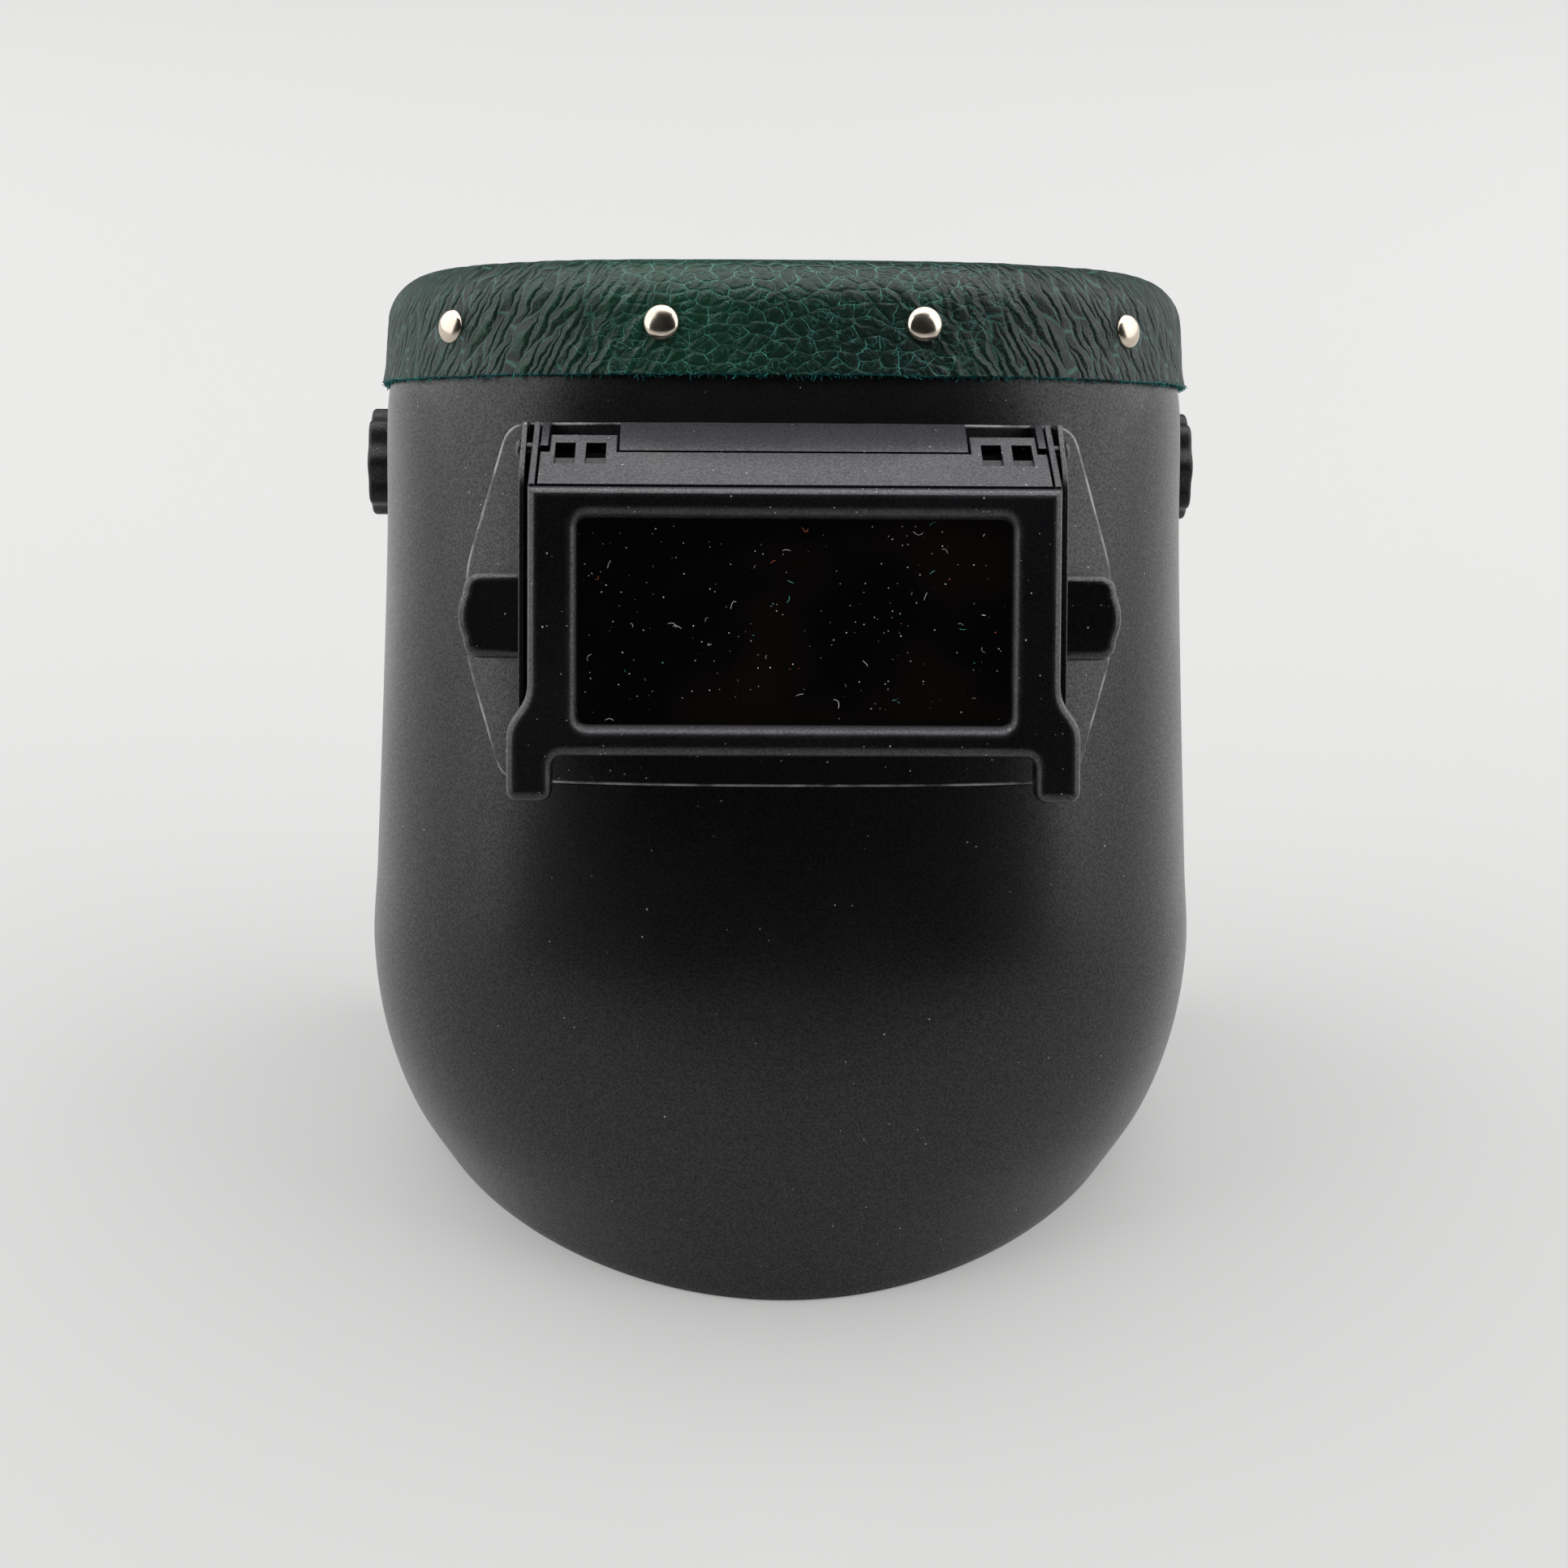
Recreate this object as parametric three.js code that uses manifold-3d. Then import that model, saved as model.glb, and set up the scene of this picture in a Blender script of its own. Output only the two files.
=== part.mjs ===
// A welding hood with a leather-covered top and a lift-front lens holder, resting on its lower rim.
// Sizes are in millimetres. The pieces are built in the hood's own upright frame: x to the right seen
// from the front, y towards the back, z up, from the middle of the lift front's top front edge.
// The whole hood then leans back until its lower rim lies level.

import * as THREE from 'three';
import { mergeVertices } from 'three/addons/utils/BufferGeometryUtils.js';
import Module from 'manifold-3d';

const wasm = await Module();
wasm.setup();

// How the hood rests, and the play between pieces that touch.
const LEAN = THREE.MathUtils.degToRad(24);
const GAP = 0.3;

// How finely curves are drawn. The dome's steps are shares of its radius, from its rim to its middle.
const WELD = 1e-4;
const CURVE_STEPS = 5;
const BEVEL_STEPS = 2;
const ROD_SIDES = 16;
const DOME_STEPS = [1, 0.88, 0.55, 0];

// Shell: horizontal sections from the brow to the chin, each a U with a rounded front.
// half is the half width, front the foremost y, round the depth of the rounded front, power its squareness.
const WALL = 2.5;
const SECTIONS = [
  { z: 60, half: 102.9, front: 33.6, round: 93, power: 2.6 },
  { z: 33, half: 104.5, front: 31.7, round: 95, power: 2.6 },
  { z: 20, half: 106, front: 30.9, round: 96, power: 2.6 },
  { z: -12, half: 106.1, front: 30.1, round: 97, power: 2.6 },
  { z: -55, half: 107.3, front: 30, round: 98, power: 2.6 },
  { z: -100, half: 108.9, front: 30.4, round: 98, power: 2.6 },
  { z: -122, half: 110, front: 31.8, round: 98, power: 2.55 },
  { z: -145, half: 107.1, front: 35.4, round: 96, power: 2.4 },
  { z: -166, half: 100, front: 41, round: 93, power: 2.25 },
  { z: -185, half: 88.2, front: 48.2, round: 88, power: 2.1 },
  { z: -212, half: 71, front: 61.5, round: 80, power: 2 },
];
const ROOF = { z: 54, fillet: 10.5, crown: 3, crownReach: 70 };
const LOFT = { back: 215, planSteps: 14, wallSteps: 14, filletSteps: 4, crownSteps: 2 };

// Outline of the shell seen from the side: the rear edge, and the rim line through the chin.
const CHIN = { y: 58.2, z: -205.4 };
const REAR_EDGE = [
  { z: 62, y: 116 },
  { z: 50, y: 122 },
  { z: 32, y: 146 },
  { z: 8, y: 174 },
  { z: -30, y: 186 },
  { z: -85, y: 187 },
  { z: -130, y: 184 },
  { z: -150, y: 175 },
  { z: -160, y: 158 },
];
const REAR_EDGE_STEPS = 24;
const OUTLINE_MARGIN = 60;

// Leather over the brow and the top, and the rivets that hold it.
const LEATHER = { thickness: 1.4, lowerEdge: 27.5, rearSetback: 1.2 };
const RIVET = {
  z: 39.5,
  headRadius: 4.4,
  headHeight: 2.2,
  headRim: 0.55,
  shankRadius: 1.5,
  holeLength: 26,
  tailRadius: 3.2,
  tailHeight: 0.9,
  slack: 0.45,
  sides: 10,
};
const RIVET_PLAN_ANGLES = [-47.6, -12.1, 12.1, 47.6];

// Lens plates and the window that they share.
const PLATE = { width: 108, height: 50.8, thickness: 3 };
const WINDOW = { width: 100, height: 47.7, z: -30.75, corner: 2.5 };

// Lift front: a face with cheeks and feet, and a tray behind it, on a hinge along x.
const HINGE = { y: 24, z: 9.1 };
const SLOPE = { y: 2, z: 0.4, rise: 0.608, rear: 27 };
const FACE = { half: 61.5, top: 0.3, bottom: -61.7, thickness: 4, edge: 2, depth: 12 };
const FOOT = { outer: 66.3, inner: 55.9, bottom: -72.3, flareTop: -45, flareEnd: -58, depth: 9, corner: 3 };
const CHEEK = { inner: 59.9, outer: 61.5, depth: 19.5, shoulder: -3 };
const BOSS = { low: 4.6, reach: 30, top: 14.2, topReach: 29.4 };
const TRAY = { half: 59.4, lip: 2.9, front: 4.4, seat: 7.6, web: 9.6, back: 19, bottom: -58.5, skin: 2 };
const TRAY_SHOULDER = -2;
const TAB = { inner: 41.5, outer: 57.2, start: 6.4, end: 22, thickness: 3 };
const TAB_HOLES = { starts: [44.1, 51.3], width: 4.6, front: 10.8, step: 14.9, rear: 18.8, ledge: 1.5 };

// Fixed holder: a curved flange on the shell, box walls round the lift front, ears and a hinge bar.
const FLANGE = { thickness: 1.4, corner: 5 };
const FLANGE_CORNERS = [
  { x: 68.9, z: 15.7 },
  { x: 79.8, z: -20.2 },
  { x: 79.6, z: -41.6 },
  { x: 70.4, z: -71.5 },
];
const EAR = { inner: 60, outer: 80.6, top: -20.4, bottom: -41.4, front: 36, edge: 2.5, corner: 5 };
const EAR_BULGE = 1.2;
const SIDE_WALL = { inner: 63, outer: 64.4, front: 14, bottom: -60.5, chamfer: 5 };
const FLOOR = { front: 18, thickness: 1.5 };
const BAR = { half: 41, front: 15.9, thickness: 2.6, seam: 0.6 };
const END_RIB = { inner: 57.6, outer: 59.5, front: 17.6 };
const LEDGE = { front: 26.2, rear: 29.4, half: 58.5, top: 4.5, opening: 52, openingHeight: 45.5 };
const POCKET = { front: 22.8, rim: 2 };
const SHELL_WINDOW = { half: 56.5, top: -4.5, bottom: -57, corner: 6 };
const HOLDER_REACH = { mid: 45, deep: 65 };

// Hinge pins, tension knobs and the studs that carry them.
const PIN = { radius: 1.6, clearance: 0.3, headRadius: 2.5, headHeight: 1.1, inner: 59, sides: 10 };
const PIVOT = { y: 150, z: 7 };
const KNOB = { radius: 14.8, inner: 106.9, outer: 114.3, edge: 1.2 };
const FLUTE = { depth: 1.5, sharpness: 3, lobes: 8, stepsPerLobe: 5 };
const STUD = { radius: 3, inner: 90, outer: 111.2, washerRadius: 9, washer: 2, clearance: 0.4 };

// Material finishes.
const FINISH = {
  shell: { color: 0x17171a, roughness: 0.55, metalness: 0 },
  leather: { color: 0x1f3431, roughness: 0.6, metalness: 0 },
  nickel: { color: 0xb9b8b2, roughness: 0.25, metalness: 1 },
  holder: { color: 0x141417, roughness: 0.45, metalness: 0 },
  darkGlass: { color: 0x060609, roughness: 0.06, metalness: 0 },
  clearPlate: { color: 0xc9d3cf, roughness: 0.08, metalness: 0 },
  knob: { color: 0x1b1b1d, roughness: 0.5, metalness: 0 },
  steel: { color: 0x8d8f92, roughness: 0.35, metalness: 1 },
};

// Joining and cutting of closed meshes.

function toSolid(geometry) {
  const bare = geometry.clone();
  bare.deleteAttribute('normal');
  bare.deleteAttribute('uv');
  const merged = mergeVertices(bare, WELD);
  return new wasm.Manifold(new wasm.Mesh({
    numProp: 3,
    vertProperties: new Float32Array(merged.attributes.position.array),
    triVerts: new Uint32Array(merged.index.array),
  }));
}

function toGeometry(solid) {
  const mesh = solid.getMesh();
  const geometry = new THREE.BufferGeometry();
  geometry.setAttribute('position', new THREE.BufferAttribute(new Float32Array(mesh.vertProperties), 3));
  geometry.setIndex(new THREE.BufferAttribute(new Uint32Array(mesh.triVerts), 1));
  geometry.computeVertexNormals();
  return geometry;
}

function join(...solids) {
  return solids.reduce((whole, next) => whole.add(next));
}

function cut(body, ...tools) {
  return tools.reduce((rest, tool) => rest.subtract(tool), body);
}

function piece(name, solid, finish) {
  const mesh = new THREE.Mesh(toGeometry(solid), new THREE.MeshStandardMaterial(finish));
  mesh.name = name;
  return mesh;
}

// Prisms along the frame's axes, from shapes drawn in the plane that they cross.

const AXIS_X = new THREE.Vector3(1, 0, 0);
const AXIS_Y = new THREE.Vector3(0, 1, 0);
const AXIS_Z = new THREE.Vector3(0, 0, 1);

function bevelled(shape, length, edge) {
  return new THREE.ExtrudeGeometry(shape, {
    depth: length - 2 * edge,
    bevelEnabled: edge > 0,
    bevelThickness: edge,
    bevelSize: edge,
    bevelOffset: -edge,
    bevelSegments: BEVEL_STEPS,
    curveSegments: CURVE_STEPS,
  }).translate(0, 0, edge);
}

function prismAlongX(shape, x0, x1, edge = 0) {
  const turn = new THREE.Matrix4().makeBasis(AXIS_Y, AXIS_Z, AXIS_X);
  return toSolid(bevelled(shape, x1 - x0, edge).applyMatrix4(turn).translate(x0, 0, 0));
}

function prismAlongY(shape, y0, y1, edge = 0) {
  const turn = new THREE.Matrix4().makeBasis(AXIS_X, AXIS_Z, AXIS_Y.clone().negate());
  return toSolid(bevelled(shape, y1 - y0, edge).applyMatrix4(turn).translate(0, y1, 0));
}

function box(x0, x1, y0, y1, z0, z1) {
  const geometry = new THREE.BoxGeometry(x1 - x0, y1 - y0, z1 - z0);
  return toSolid(geometry.translate((x0 + x1) / 2, (y0 + y1) / 2, (z0 + z1) / 2));
}

function rodAlongX(x0, x1, radius, { y, z }, sides = ROD_SIDES) {
  const geometry = new THREE.CylinderGeometry(radius, radius, x1 - x0, sides);
  return toSolid(geometry.rotateZ(-Math.PI / 2).translate((x0 + x1) / 2, y, z));
}

function polygon(points) {
  return new THREE.Shape(points.map(([a, b]) => new THREE.Vector2(a, b)));
}

function roundedPolygon(points, radius) {
  const corners = points.map(({ x, z }) => new THREE.Vector2(x, z));
  const towards = (from, to) => from.clone().add(to.clone().sub(from).setLength(radius));
  const shape = new THREE.Shape();
  corners.forEach((corner, i) => {
    const start = towards(corner, corners.at(i - 1));
    const end = towards(corner, corners[(i + 1) % corners.length]);
    if (i === 0) {
      shape.moveTo(start.x, start.y);
    } else {
      shape.lineTo(start.x, start.y);
    }
    shape.quadraticCurveTo(corner.x, corner.y, end.x, end.y);
  });
  return shape;
}

function roundedRectangle(half, bottom, top, corner) {
  const points = [{ x: -half, z: bottom }, { x: half, z: bottom }, { x: half, z: top }, { x: -half, z: top }];
  return roundedPolygon(points, corner);
}

// A right-hand solid with its mirror image across the hood's middle plane.
function mirrored(right) {
  return right.add(right.mirror([1, 0, 0]));
}

// Smooth values between the rows of a table, by height.
function tableValue(rows, z, column) {
  const last = rows.length - 1;
  const height = THREE.MathUtils.clamp(z, rows[last].z, rows[0].z);
  const below = Math.max(rows.findIndex((row) => row.z <= height), 1);
  const above = below - 1;
  const tangent = (i) => {
    const before = rows[Math.max(i - 1, 0)];
    const after = rows[Math.min(i + 1, last)];
    return (after[column] - before[column]) / (after.z - before.z);
  };
  const span = rows[below].z - rows[above].z;
  const t = (height - rows[above].z) / span;
  const start = rows[above][column];
  const end = rows[below][column];
  return start + (end - start) * t * t * (3 - 2 * t)
    + span * tangent(above) * t * (1 - t) * (1 - t)
    - span * tangent(below) * t * t * (1 - t);
}

// Shell surfaces.

function sectionAt(z) {
  return {
    half: tableValue(SECTIONS, z, 'half'),
    front: tableValue(SECTIONS, z, 'front'),
    round: tableValue(SECTIONS, z, 'round'),
    power: tableValue(SECTIONS, z, 'power'),
  };
}

// A point of the section at height z, set in from the shell's outside. The plan angle is 0 at the front.
function planPoint(z, inset, planAngle) {
  const { half, front, round, power } = sectionAt(z);
  const sine = Math.abs(Math.sin(planAngle)) ** (2 / power);
  const cosine = Math.max(Math.cos(planAngle), 0) ** (2 / power);
  const x = Math.sign(planAngle) * (half - inset) * sine;
  return new THREE.Vector2(x, front + inset + (round - inset) * (1 - cosine));
}

function planNormal(z, planAngle) {
  const { half, round, power } = sectionAt(z);
  const x = Math.sign(planAngle) * Math.abs(Math.sin(planAngle)) ** (2 - 2 / power) / half;
  const y = -(Math.cos(planAngle) ** (2 - 2 / power)) / round;
  return new THREE.Vector2(x, y).normalize();
}

function planOutline(z, inset) {
  const points = [];
  for (let i = -LOFT.planSteps; i <= LOFT.planSteps; i += 1) {
    points.push(planPoint(z, inset, (i / LOFT.planSteps) * Math.PI / 2));
  }
  points.push(new THREE.Vector2(points.at(-1).x, LOFT.back));
  points.unshift(new THREE.Vector2(points[0].x, LOFT.back));
  return points;
}

// The rows of an offset shell surface: up the wall, round the roof's edge and over its low crown.
function loftRows(offset) {
  const rows = [];
  const wallTop = ROOF.z - ROOF.fillet;
  const wallBottom = SECTIONS.at(-1).z;
  for (let i = 0; i <= LOFT.wallSteps; i += 1) {
    const z = THREE.MathUtils.lerp(wallBottom, wallTop, i / LOFT.wallSteps);
    rows.push({ section: z, z, inset: -offset });
  }
  const radius = ROOF.fillet + offset;
  for (let i = 1; i <= LOFT.filletSteps; i += 1) {
    const angle = (i / LOFT.filletSteps) * Math.PI / 2;
    const rise = Math.sin(angle);
    const inset = radius * (1 - Math.cos(angle)) - offset;
    rows.push({ section: wallTop + ROOF.fillet * rise, z: wallTop + radius * rise, inset });
  }
  for (let i = 1; i <= LOFT.crownSteps; i += 1) {
    const t = i / LOFT.crownSteps;
    const z = ROOF.z + offset + ROOF.crown * t * (2 - t);
    rows.push({ section: ROOF.z, z, inset: ROOF.fillet + ROOF.crownReach * t });
  }
  return rows;
}

// A closed body inside the shell's surface moved out by an offset, with flat ends at the back and below.
function loft(offset) {
  const rings = loftRows(offset).map(({ section, z, inset }) => (
    planOutline(section, inset).map((point) => [point.x, point.y, z])));
  const count = rings[0].length;
  const index = [];
  for (let i = 0; i + 1 < rings.length; i += 1) {
    for (let j = 0; j < count; j += 1) {
      const a = i * count + j;
      const b = i * count + (j + 1) % count;
      index.push(a, b, b + count, a, b + count, a + count);
    }
  }
  const top = (rings.length - 1) * count;
  for (let j = 1; j + 1 < count; j += 1) {
    index.push(0, j + 1, j);
    index.push(top, top + j, top + j + 1);
  }
  const geometry = new THREE.BufferGeometry();
  geometry.setAttribute('position', new THREE.BufferAttribute(new Float32Array(rings.flat(2)), 3));
  geometry.setIndex(index);
  return toSolid(geometry);
}

const rimHeight = (y) => CHIN.z + (y - CHIN.y) * Math.tan(LEAN);

// The hood's outline seen from the side, above a lower edge and in front of the rear edge.
function sideOutline(lowerEdge, setback) {
  const top = REAR_EDGE[0];
  const lowest = REAR_EDGE.at(-1);
  const bottom = Math.max(lowest.z, lowerEdge(lowest.y));
  const cornerY = tableValue(REAR_EDGE, bottom, 'y') - setback;
  const points = [
    [-OUTLINE_MARGIN, top.z + OUTLINE_MARGIN],
    [-OUTLINE_MARGIN, lowerEdge(-OUTLINE_MARGIN)],
    [cornerY, lowerEdge(cornerY)],
  ];
  for (let i = 1; i <= REAR_EDGE_STEPS; i += 1) {
    const z = THREE.MathUtils.lerp(bottom, top.z, i / REAR_EDGE_STEPS);
    points.push([tableValue(REAR_EDGE, z, 'y') - setback, z]);
  }
  points.push([top.y - setback, top.z + OUTLINE_MARGIN]);
  return polygon(points);
}

function offsetWall(outerOffset, innerOffset, outline) {
  const sides = prismAlongX(outline, -LOFT.back, LOFT.back);
  return loft(outerOffset).subtract(loft(innerOffset)).intersect(sides);
}

// Moves a shape made along +y so that +y points out of the shell at that plan angle and height.
function placeOnShell(geometry, degrees, z) {
  const angle = THREE.MathUtils.degToRad(degrees);
  const spot = planPoint(z, 0, angle);
  const across = planNormal(z, angle);
  const step = 1;
  const lean = planPoint(z + step, 0, angle).sub(planPoint(z - step, 0, angle)).dot(across) / (2 * step);
  const normal = new THREE.Vector3(across.x, across.y, -lean).normalize();
  const turn = new THREE.Quaternion().setFromUnitVectors(AXIS_Y, normal);
  return geometry.applyQuaternion(turn).translate(spot.x, spot.y, z);
}

function rivetHoles() {
  const radius = RIVET.shankRadius + GAP;
  return RIVET_PLAN_ANGLES.map((degrees) => {
    const hole = new THREE.CylinderGeometry(radius, radius, RIVET.holeLength, RIVET.sides);
    return toSolid(placeOnShell(hole, degrees, RIVET.z));
  });
}

function makeShell() {
  const wall = offsetWall(0, -WALL, sideOutline(rimHeight, 0));
  const { half, top, bottom, corner } = SHELL_WINDOW;
  const window = prismAlongY(roundedRectangle(half, bottom, top, corner), 0, HOLDER_REACH.deep);
  const studHoles = mirrored(rodAlongX(STUD.inner, KNOB.outer, STUD.radius + STUD.clearance, PIVOT));
  return cut(wall, window, studHoles, ...rivetHoles());
}

function makeLeather() {
  const outline = sideOutline(() => LEATHER.lowerEdge, LEATHER.rearSetback);
  return cut(offsetWall(GAP + LEATHER.thickness, GAP, outline), ...rivetHoles());
}

// A domed head outside the leather, a shank through both layers and a flat tail inside.
function makeRivet(degrees) {
  const { headRadius, headHeight, headRim, shankRadius, tailRadius, tailHeight, slack } = RIVET;
  const seat = GAP + LEATHER.thickness + slack;
  const tail = -WALL - slack;
  const dome = DOME_STEPS.map((t) => {
    const height = headRim + (headHeight - headRim) * Math.sqrt(1 - t * t);
    return new THREE.Vector2(headRadius * t, seat + height);
  });
  const profile = [
    new THREE.Vector2(0, tail - tailHeight),
    new THREE.Vector2(tailRadius, tail - tailHeight),
    new THREE.Vector2(tailRadius, tail),
    new THREE.Vector2(shankRadius, tail),
    new THREE.Vector2(shankRadius, seat),
    new THREE.Vector2(headRadius, seat),
    ...dome,
  ];
  return toSolid(placeOnShell(new THREE.LatheGeometry(profile, RIVET.sides), degrees, RIVET.z));
}

// Lift front.

const slopeHeight = (y) => SLOPE.z + (y - SLOPE.y) * SLOPE.rise;

// The face seen from the front: its right-hand edge is drawn, and the left is its mirror image.
function faceOutline() {
  const { half, top, bottom } = FACE;
  const { outer, inner, bottom: toe, flareTop, flareEnd, corner } = FOOT;
  const flareMiddle = (flareTop + flareEnd) / 2;
  const edge = new THREE.Path();
  edge.moveTo(half, top);
  edge.lineTo(half, flareTop);
  edge.bezierCurveTo(half, flareMiddle, outer, flareMiddle, outer, flareEnd);
  edge.lineTo(outer, toe + corner);
  edge.quadraticCurveTo(outer, toe, outer - corner, toe);
  edge.lineTo(inner + corner, toe);
  edge.quadraticCurveTo(inner, toe, inner, toe + corner);
  edge.lineTo(inner, bottom - corner);
  edge.quadraticCurveTo(inner, bottom, inner - corner, bottom);
  const right = edge.getPoints(CURVE_STEPS);
  const left = right.map((point) => new THREE.Vector2(-point.x, point.y)).reverse();
  return new THREE.Shape([...right, ...left]);
}

function windowShape(widen) {
  const half = WINDOW.width / 2 + widen;
  const reach = WINDOW.height / 2 + widen;
  return roundedRectangle(half, WINDOW.z - reach, WINDOW.z + reach, WINDOW.corner + widen);
}

function makeLiftFrame() {
  const { top, bottom, thickness, edge, depth } = FACE;
  const reach = FOOT.outer + GAP;
  const outline = faceOutline();
  const feet = prismAlongY(outline, 0, FOOT.depth + edge, edge)
    .intersect(box(-reach, reach, 0, FOOT.depth, FOOT.bottom, bottom));
  outline.holes.push(windowShape(0));
  const face = prismAlongY(outline, 0, depth, edge)
    .intersect(box(-reach, reach, 0, thickness, FOOT.bottom, top));
  const skin = CHEEK.outer - CHEEK.inner;
  const sill = box(-CHEEK.outer, CHEEK.outer, edge, depth, bottom, bottom + skin);
  const cheek = polygon([
    [edge, slopeHeight(edge)],
    [edge, bottom],
    [depth, bottom],
    [CHEEK.depth, FOOT.flareTop],
    [CHEEK.depth, CHEEK.shoulder],
    [SLOPE.rear, BOSS.low],
    [BOSS.reach, HINGE.z],
    [BOSS.topReach, BOSS.top],
    [SLOPE.rear, slopeHeight(SLOPE.rear)],
  ]);
  const cheeks = mirrored(prismAlongX(cheek, CHEEK.inner, CHEEK.outer));
  return cut(join(face, feet, sill, cheeks), pinHoles());
}

// Square holes in the hinge tabs: open through at the rear, stepped down to a ledge at the front.
function tabHoles() {
  const { starts, width, front, step, rear, ledge } = TAB_HOLES;
  const clear = 2 * TAB.thickness;
  const through = polygon([
    [step, slopeHeight(step) - clear],
    [rear, slopeHeight(rear) - clear],
    [rear, slopeHeight(rear) + clear],
    [step, slopeHeight(step) + clear],
  ]);
  const stepped = polygon([
    [front, slopeHeight(front) - ledge],
    [step + GAP, slopeHeight(step + GAP) - ledge],
    [step + GAP, slopeHeight(step + GAP) + clear],
    [front, slopeHeight(front) + clear],
  ]);
  return mirrored(join(...starts.flatMap((x) => [
    prismAlongX(through, x, x + width),
    prismAlongX(stepped, x, x + width),
  ])));
}

function makeLiftTray() {
  const { half, lip, front, seat, web, back, bottom, skin } = TRAY;
  const seam = BAR.front - BAR.seam;
  const side = polygon([
    [lip, slopeHeight(lip)],
    [lip, FACE.top + GAP],
    [front, FACE.top + GAP],
    [front, bottom],
    [back, bottom],
    [back, TRAY_SHOULDER],
    [seam + skin, TRAY_SHOULDER + skin],
    [seam, slopeHeight(seam) - skin],
    [seam, slopeHeight(seam)],
  ]);
  const plateTop = WINDOW.z + PLATE.height / 2 + GAP;
  const plateBottom = WINDOW.z - PLATE.height / 2 - GAP;
  const plateHalf = PLATE.width / 2 + GAP;
  const body = cut(
    prismAlongX(side, -half, half),
    box(-half + skin, half - skin, web, back + skin, bottom + skin, plateTop),
    box(-plateHalf, plateHalf, 0, seat, plateBottom, plateTop),
    prismAlongY(windowShape(skin), 0, HOLDER_REACH.mid),
  );
  const down = new THREE.Vector2(SLOPE.rise, -1).setLength(TAB.thickness);
  const tab = polygon([
    [TAB.start, slopeHeight(TAB.start)],
    [TAB.start + down.x, slopeHeight(TAB.start) + down.y],
    [TAB.end + down.x, slopeHeight(TAB.end) + down.y],
    [TAB.end, slopeHeight(TAB.end)],
  ]);
  const tabs = mirrored(prismAlongX(tab, TAB.inner, TAB.outer));
  return cut(join(body, tabs), tabHoles());
}

function lensPlate(rear) {
  const { width, height, thickness } = PLATE;
  return box(-width / 2, width / 2, rear - thickness, rear, WINDOW.z - height / 2, WINDOW.z + height / 2);
}

function pinHoles() {
  const radius = PIN.radius + PIN.clearance;
  return mirrored(rodAlongX(PIN.inner - GAP, SIDE_WALL.outer + GAP, radius, HINGE, PIN.sides));
}

function makePin() {
  const seat = SIDE_WALL.outer + GAP;
  const head = DOME_STEPS.map((t) => (
    new THREE.Vector2(PIN.headRadius * t, seat + PIN.headHeight * Math.sqrt(1 - t * t))));
  const profile = [
    new THREE.Vector2(0, PIN.inner),
    new THREE.Vector2(PIN.radius, PIN.inner),
    new THREE.Vector2(PIN.radius, seat),
    ...head,
  ];
  const geometry = new THREE.LatheGeometry(profile, PIN.sides);
  return toSolid(geometry.rotateZ(-Math.PI / 2).translate(0, HINGE.y, HINGE.z));
}

// Fixed holder.

function flangeOutline() {
  const left = FLANGE_CORNERS.map(({ x, z }) => ({ x: -x, z })).reverse();
  return roundedPolygon([...FLANGE_CORNERS, ...left], FLANGE.corner);
}

function earOutline() {
  const { inner, outer, top, bottom, corner } = EAR;
  const shoulder = outer - EAR_BULGE;
  const edge = new THREE.Shape();
  edge.moveTo(inner, bottom);
  edge.lineTo(shoulder - corner, bottom);
  edge.quadraticCurveTo(shoulder, bottom, shoulder, bottom + corner);
  edge.quadraticCurveTo(outer + EAR_BULGE, (top + bottom) / 2, shoulder, top - corner);
  edge.quadraticCurveTo(shoulder, top, shoulder - corner, top);
  edge.lineTo(inner, top);
  return edge;
}

function sideWalls() {
  const { inner, outer, front, bottom, chamfer } = SIDE_WALL;
  const top = slopeHeight(SLOPE.rear);
  const wall = polygon([
    [HOLDER_REACH.mid, top],
    [SLOPE.rear, top],
    [front + chamfer / 2, chamfer],
    [front, 0],
    [front, bottom + chamfer],
    [FLOOR.front, bottom],
    [HOLDER_REACH.mid, bottom],
  ]);
  const floor = box(-outer, outer, FLOOR.front, HOLDER_REACH.mid, bottom, bottom + FLOOR.thickness);
  return join(mirrored(prismAlongX(wall, inner, outer)), floor);
}

// A sloping strip of the holder's top, from a front edge back to the flange.
function roofStrip(front, x0, x1) {
  const { thickness } = BAR;
  const top = slopeHeight(SLOPE.rear);
  const bend = SLOPE.rear - thickness / 2;
  const strip = polygon([
    [front, slopeHeight(front)],
    [front + thickness / 2, slopeHeight(front + thickness / 2) - thickness],
    [bend, slopeHeight(bend) - thickness],
    [HOLDER_REACH.mid, top - thickness],
    [HOLDER_REACH.mid, top],
    [SLOPE.rear, top],
  ]);
  return prismAlongX(strip, x0, x1);
}

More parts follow.
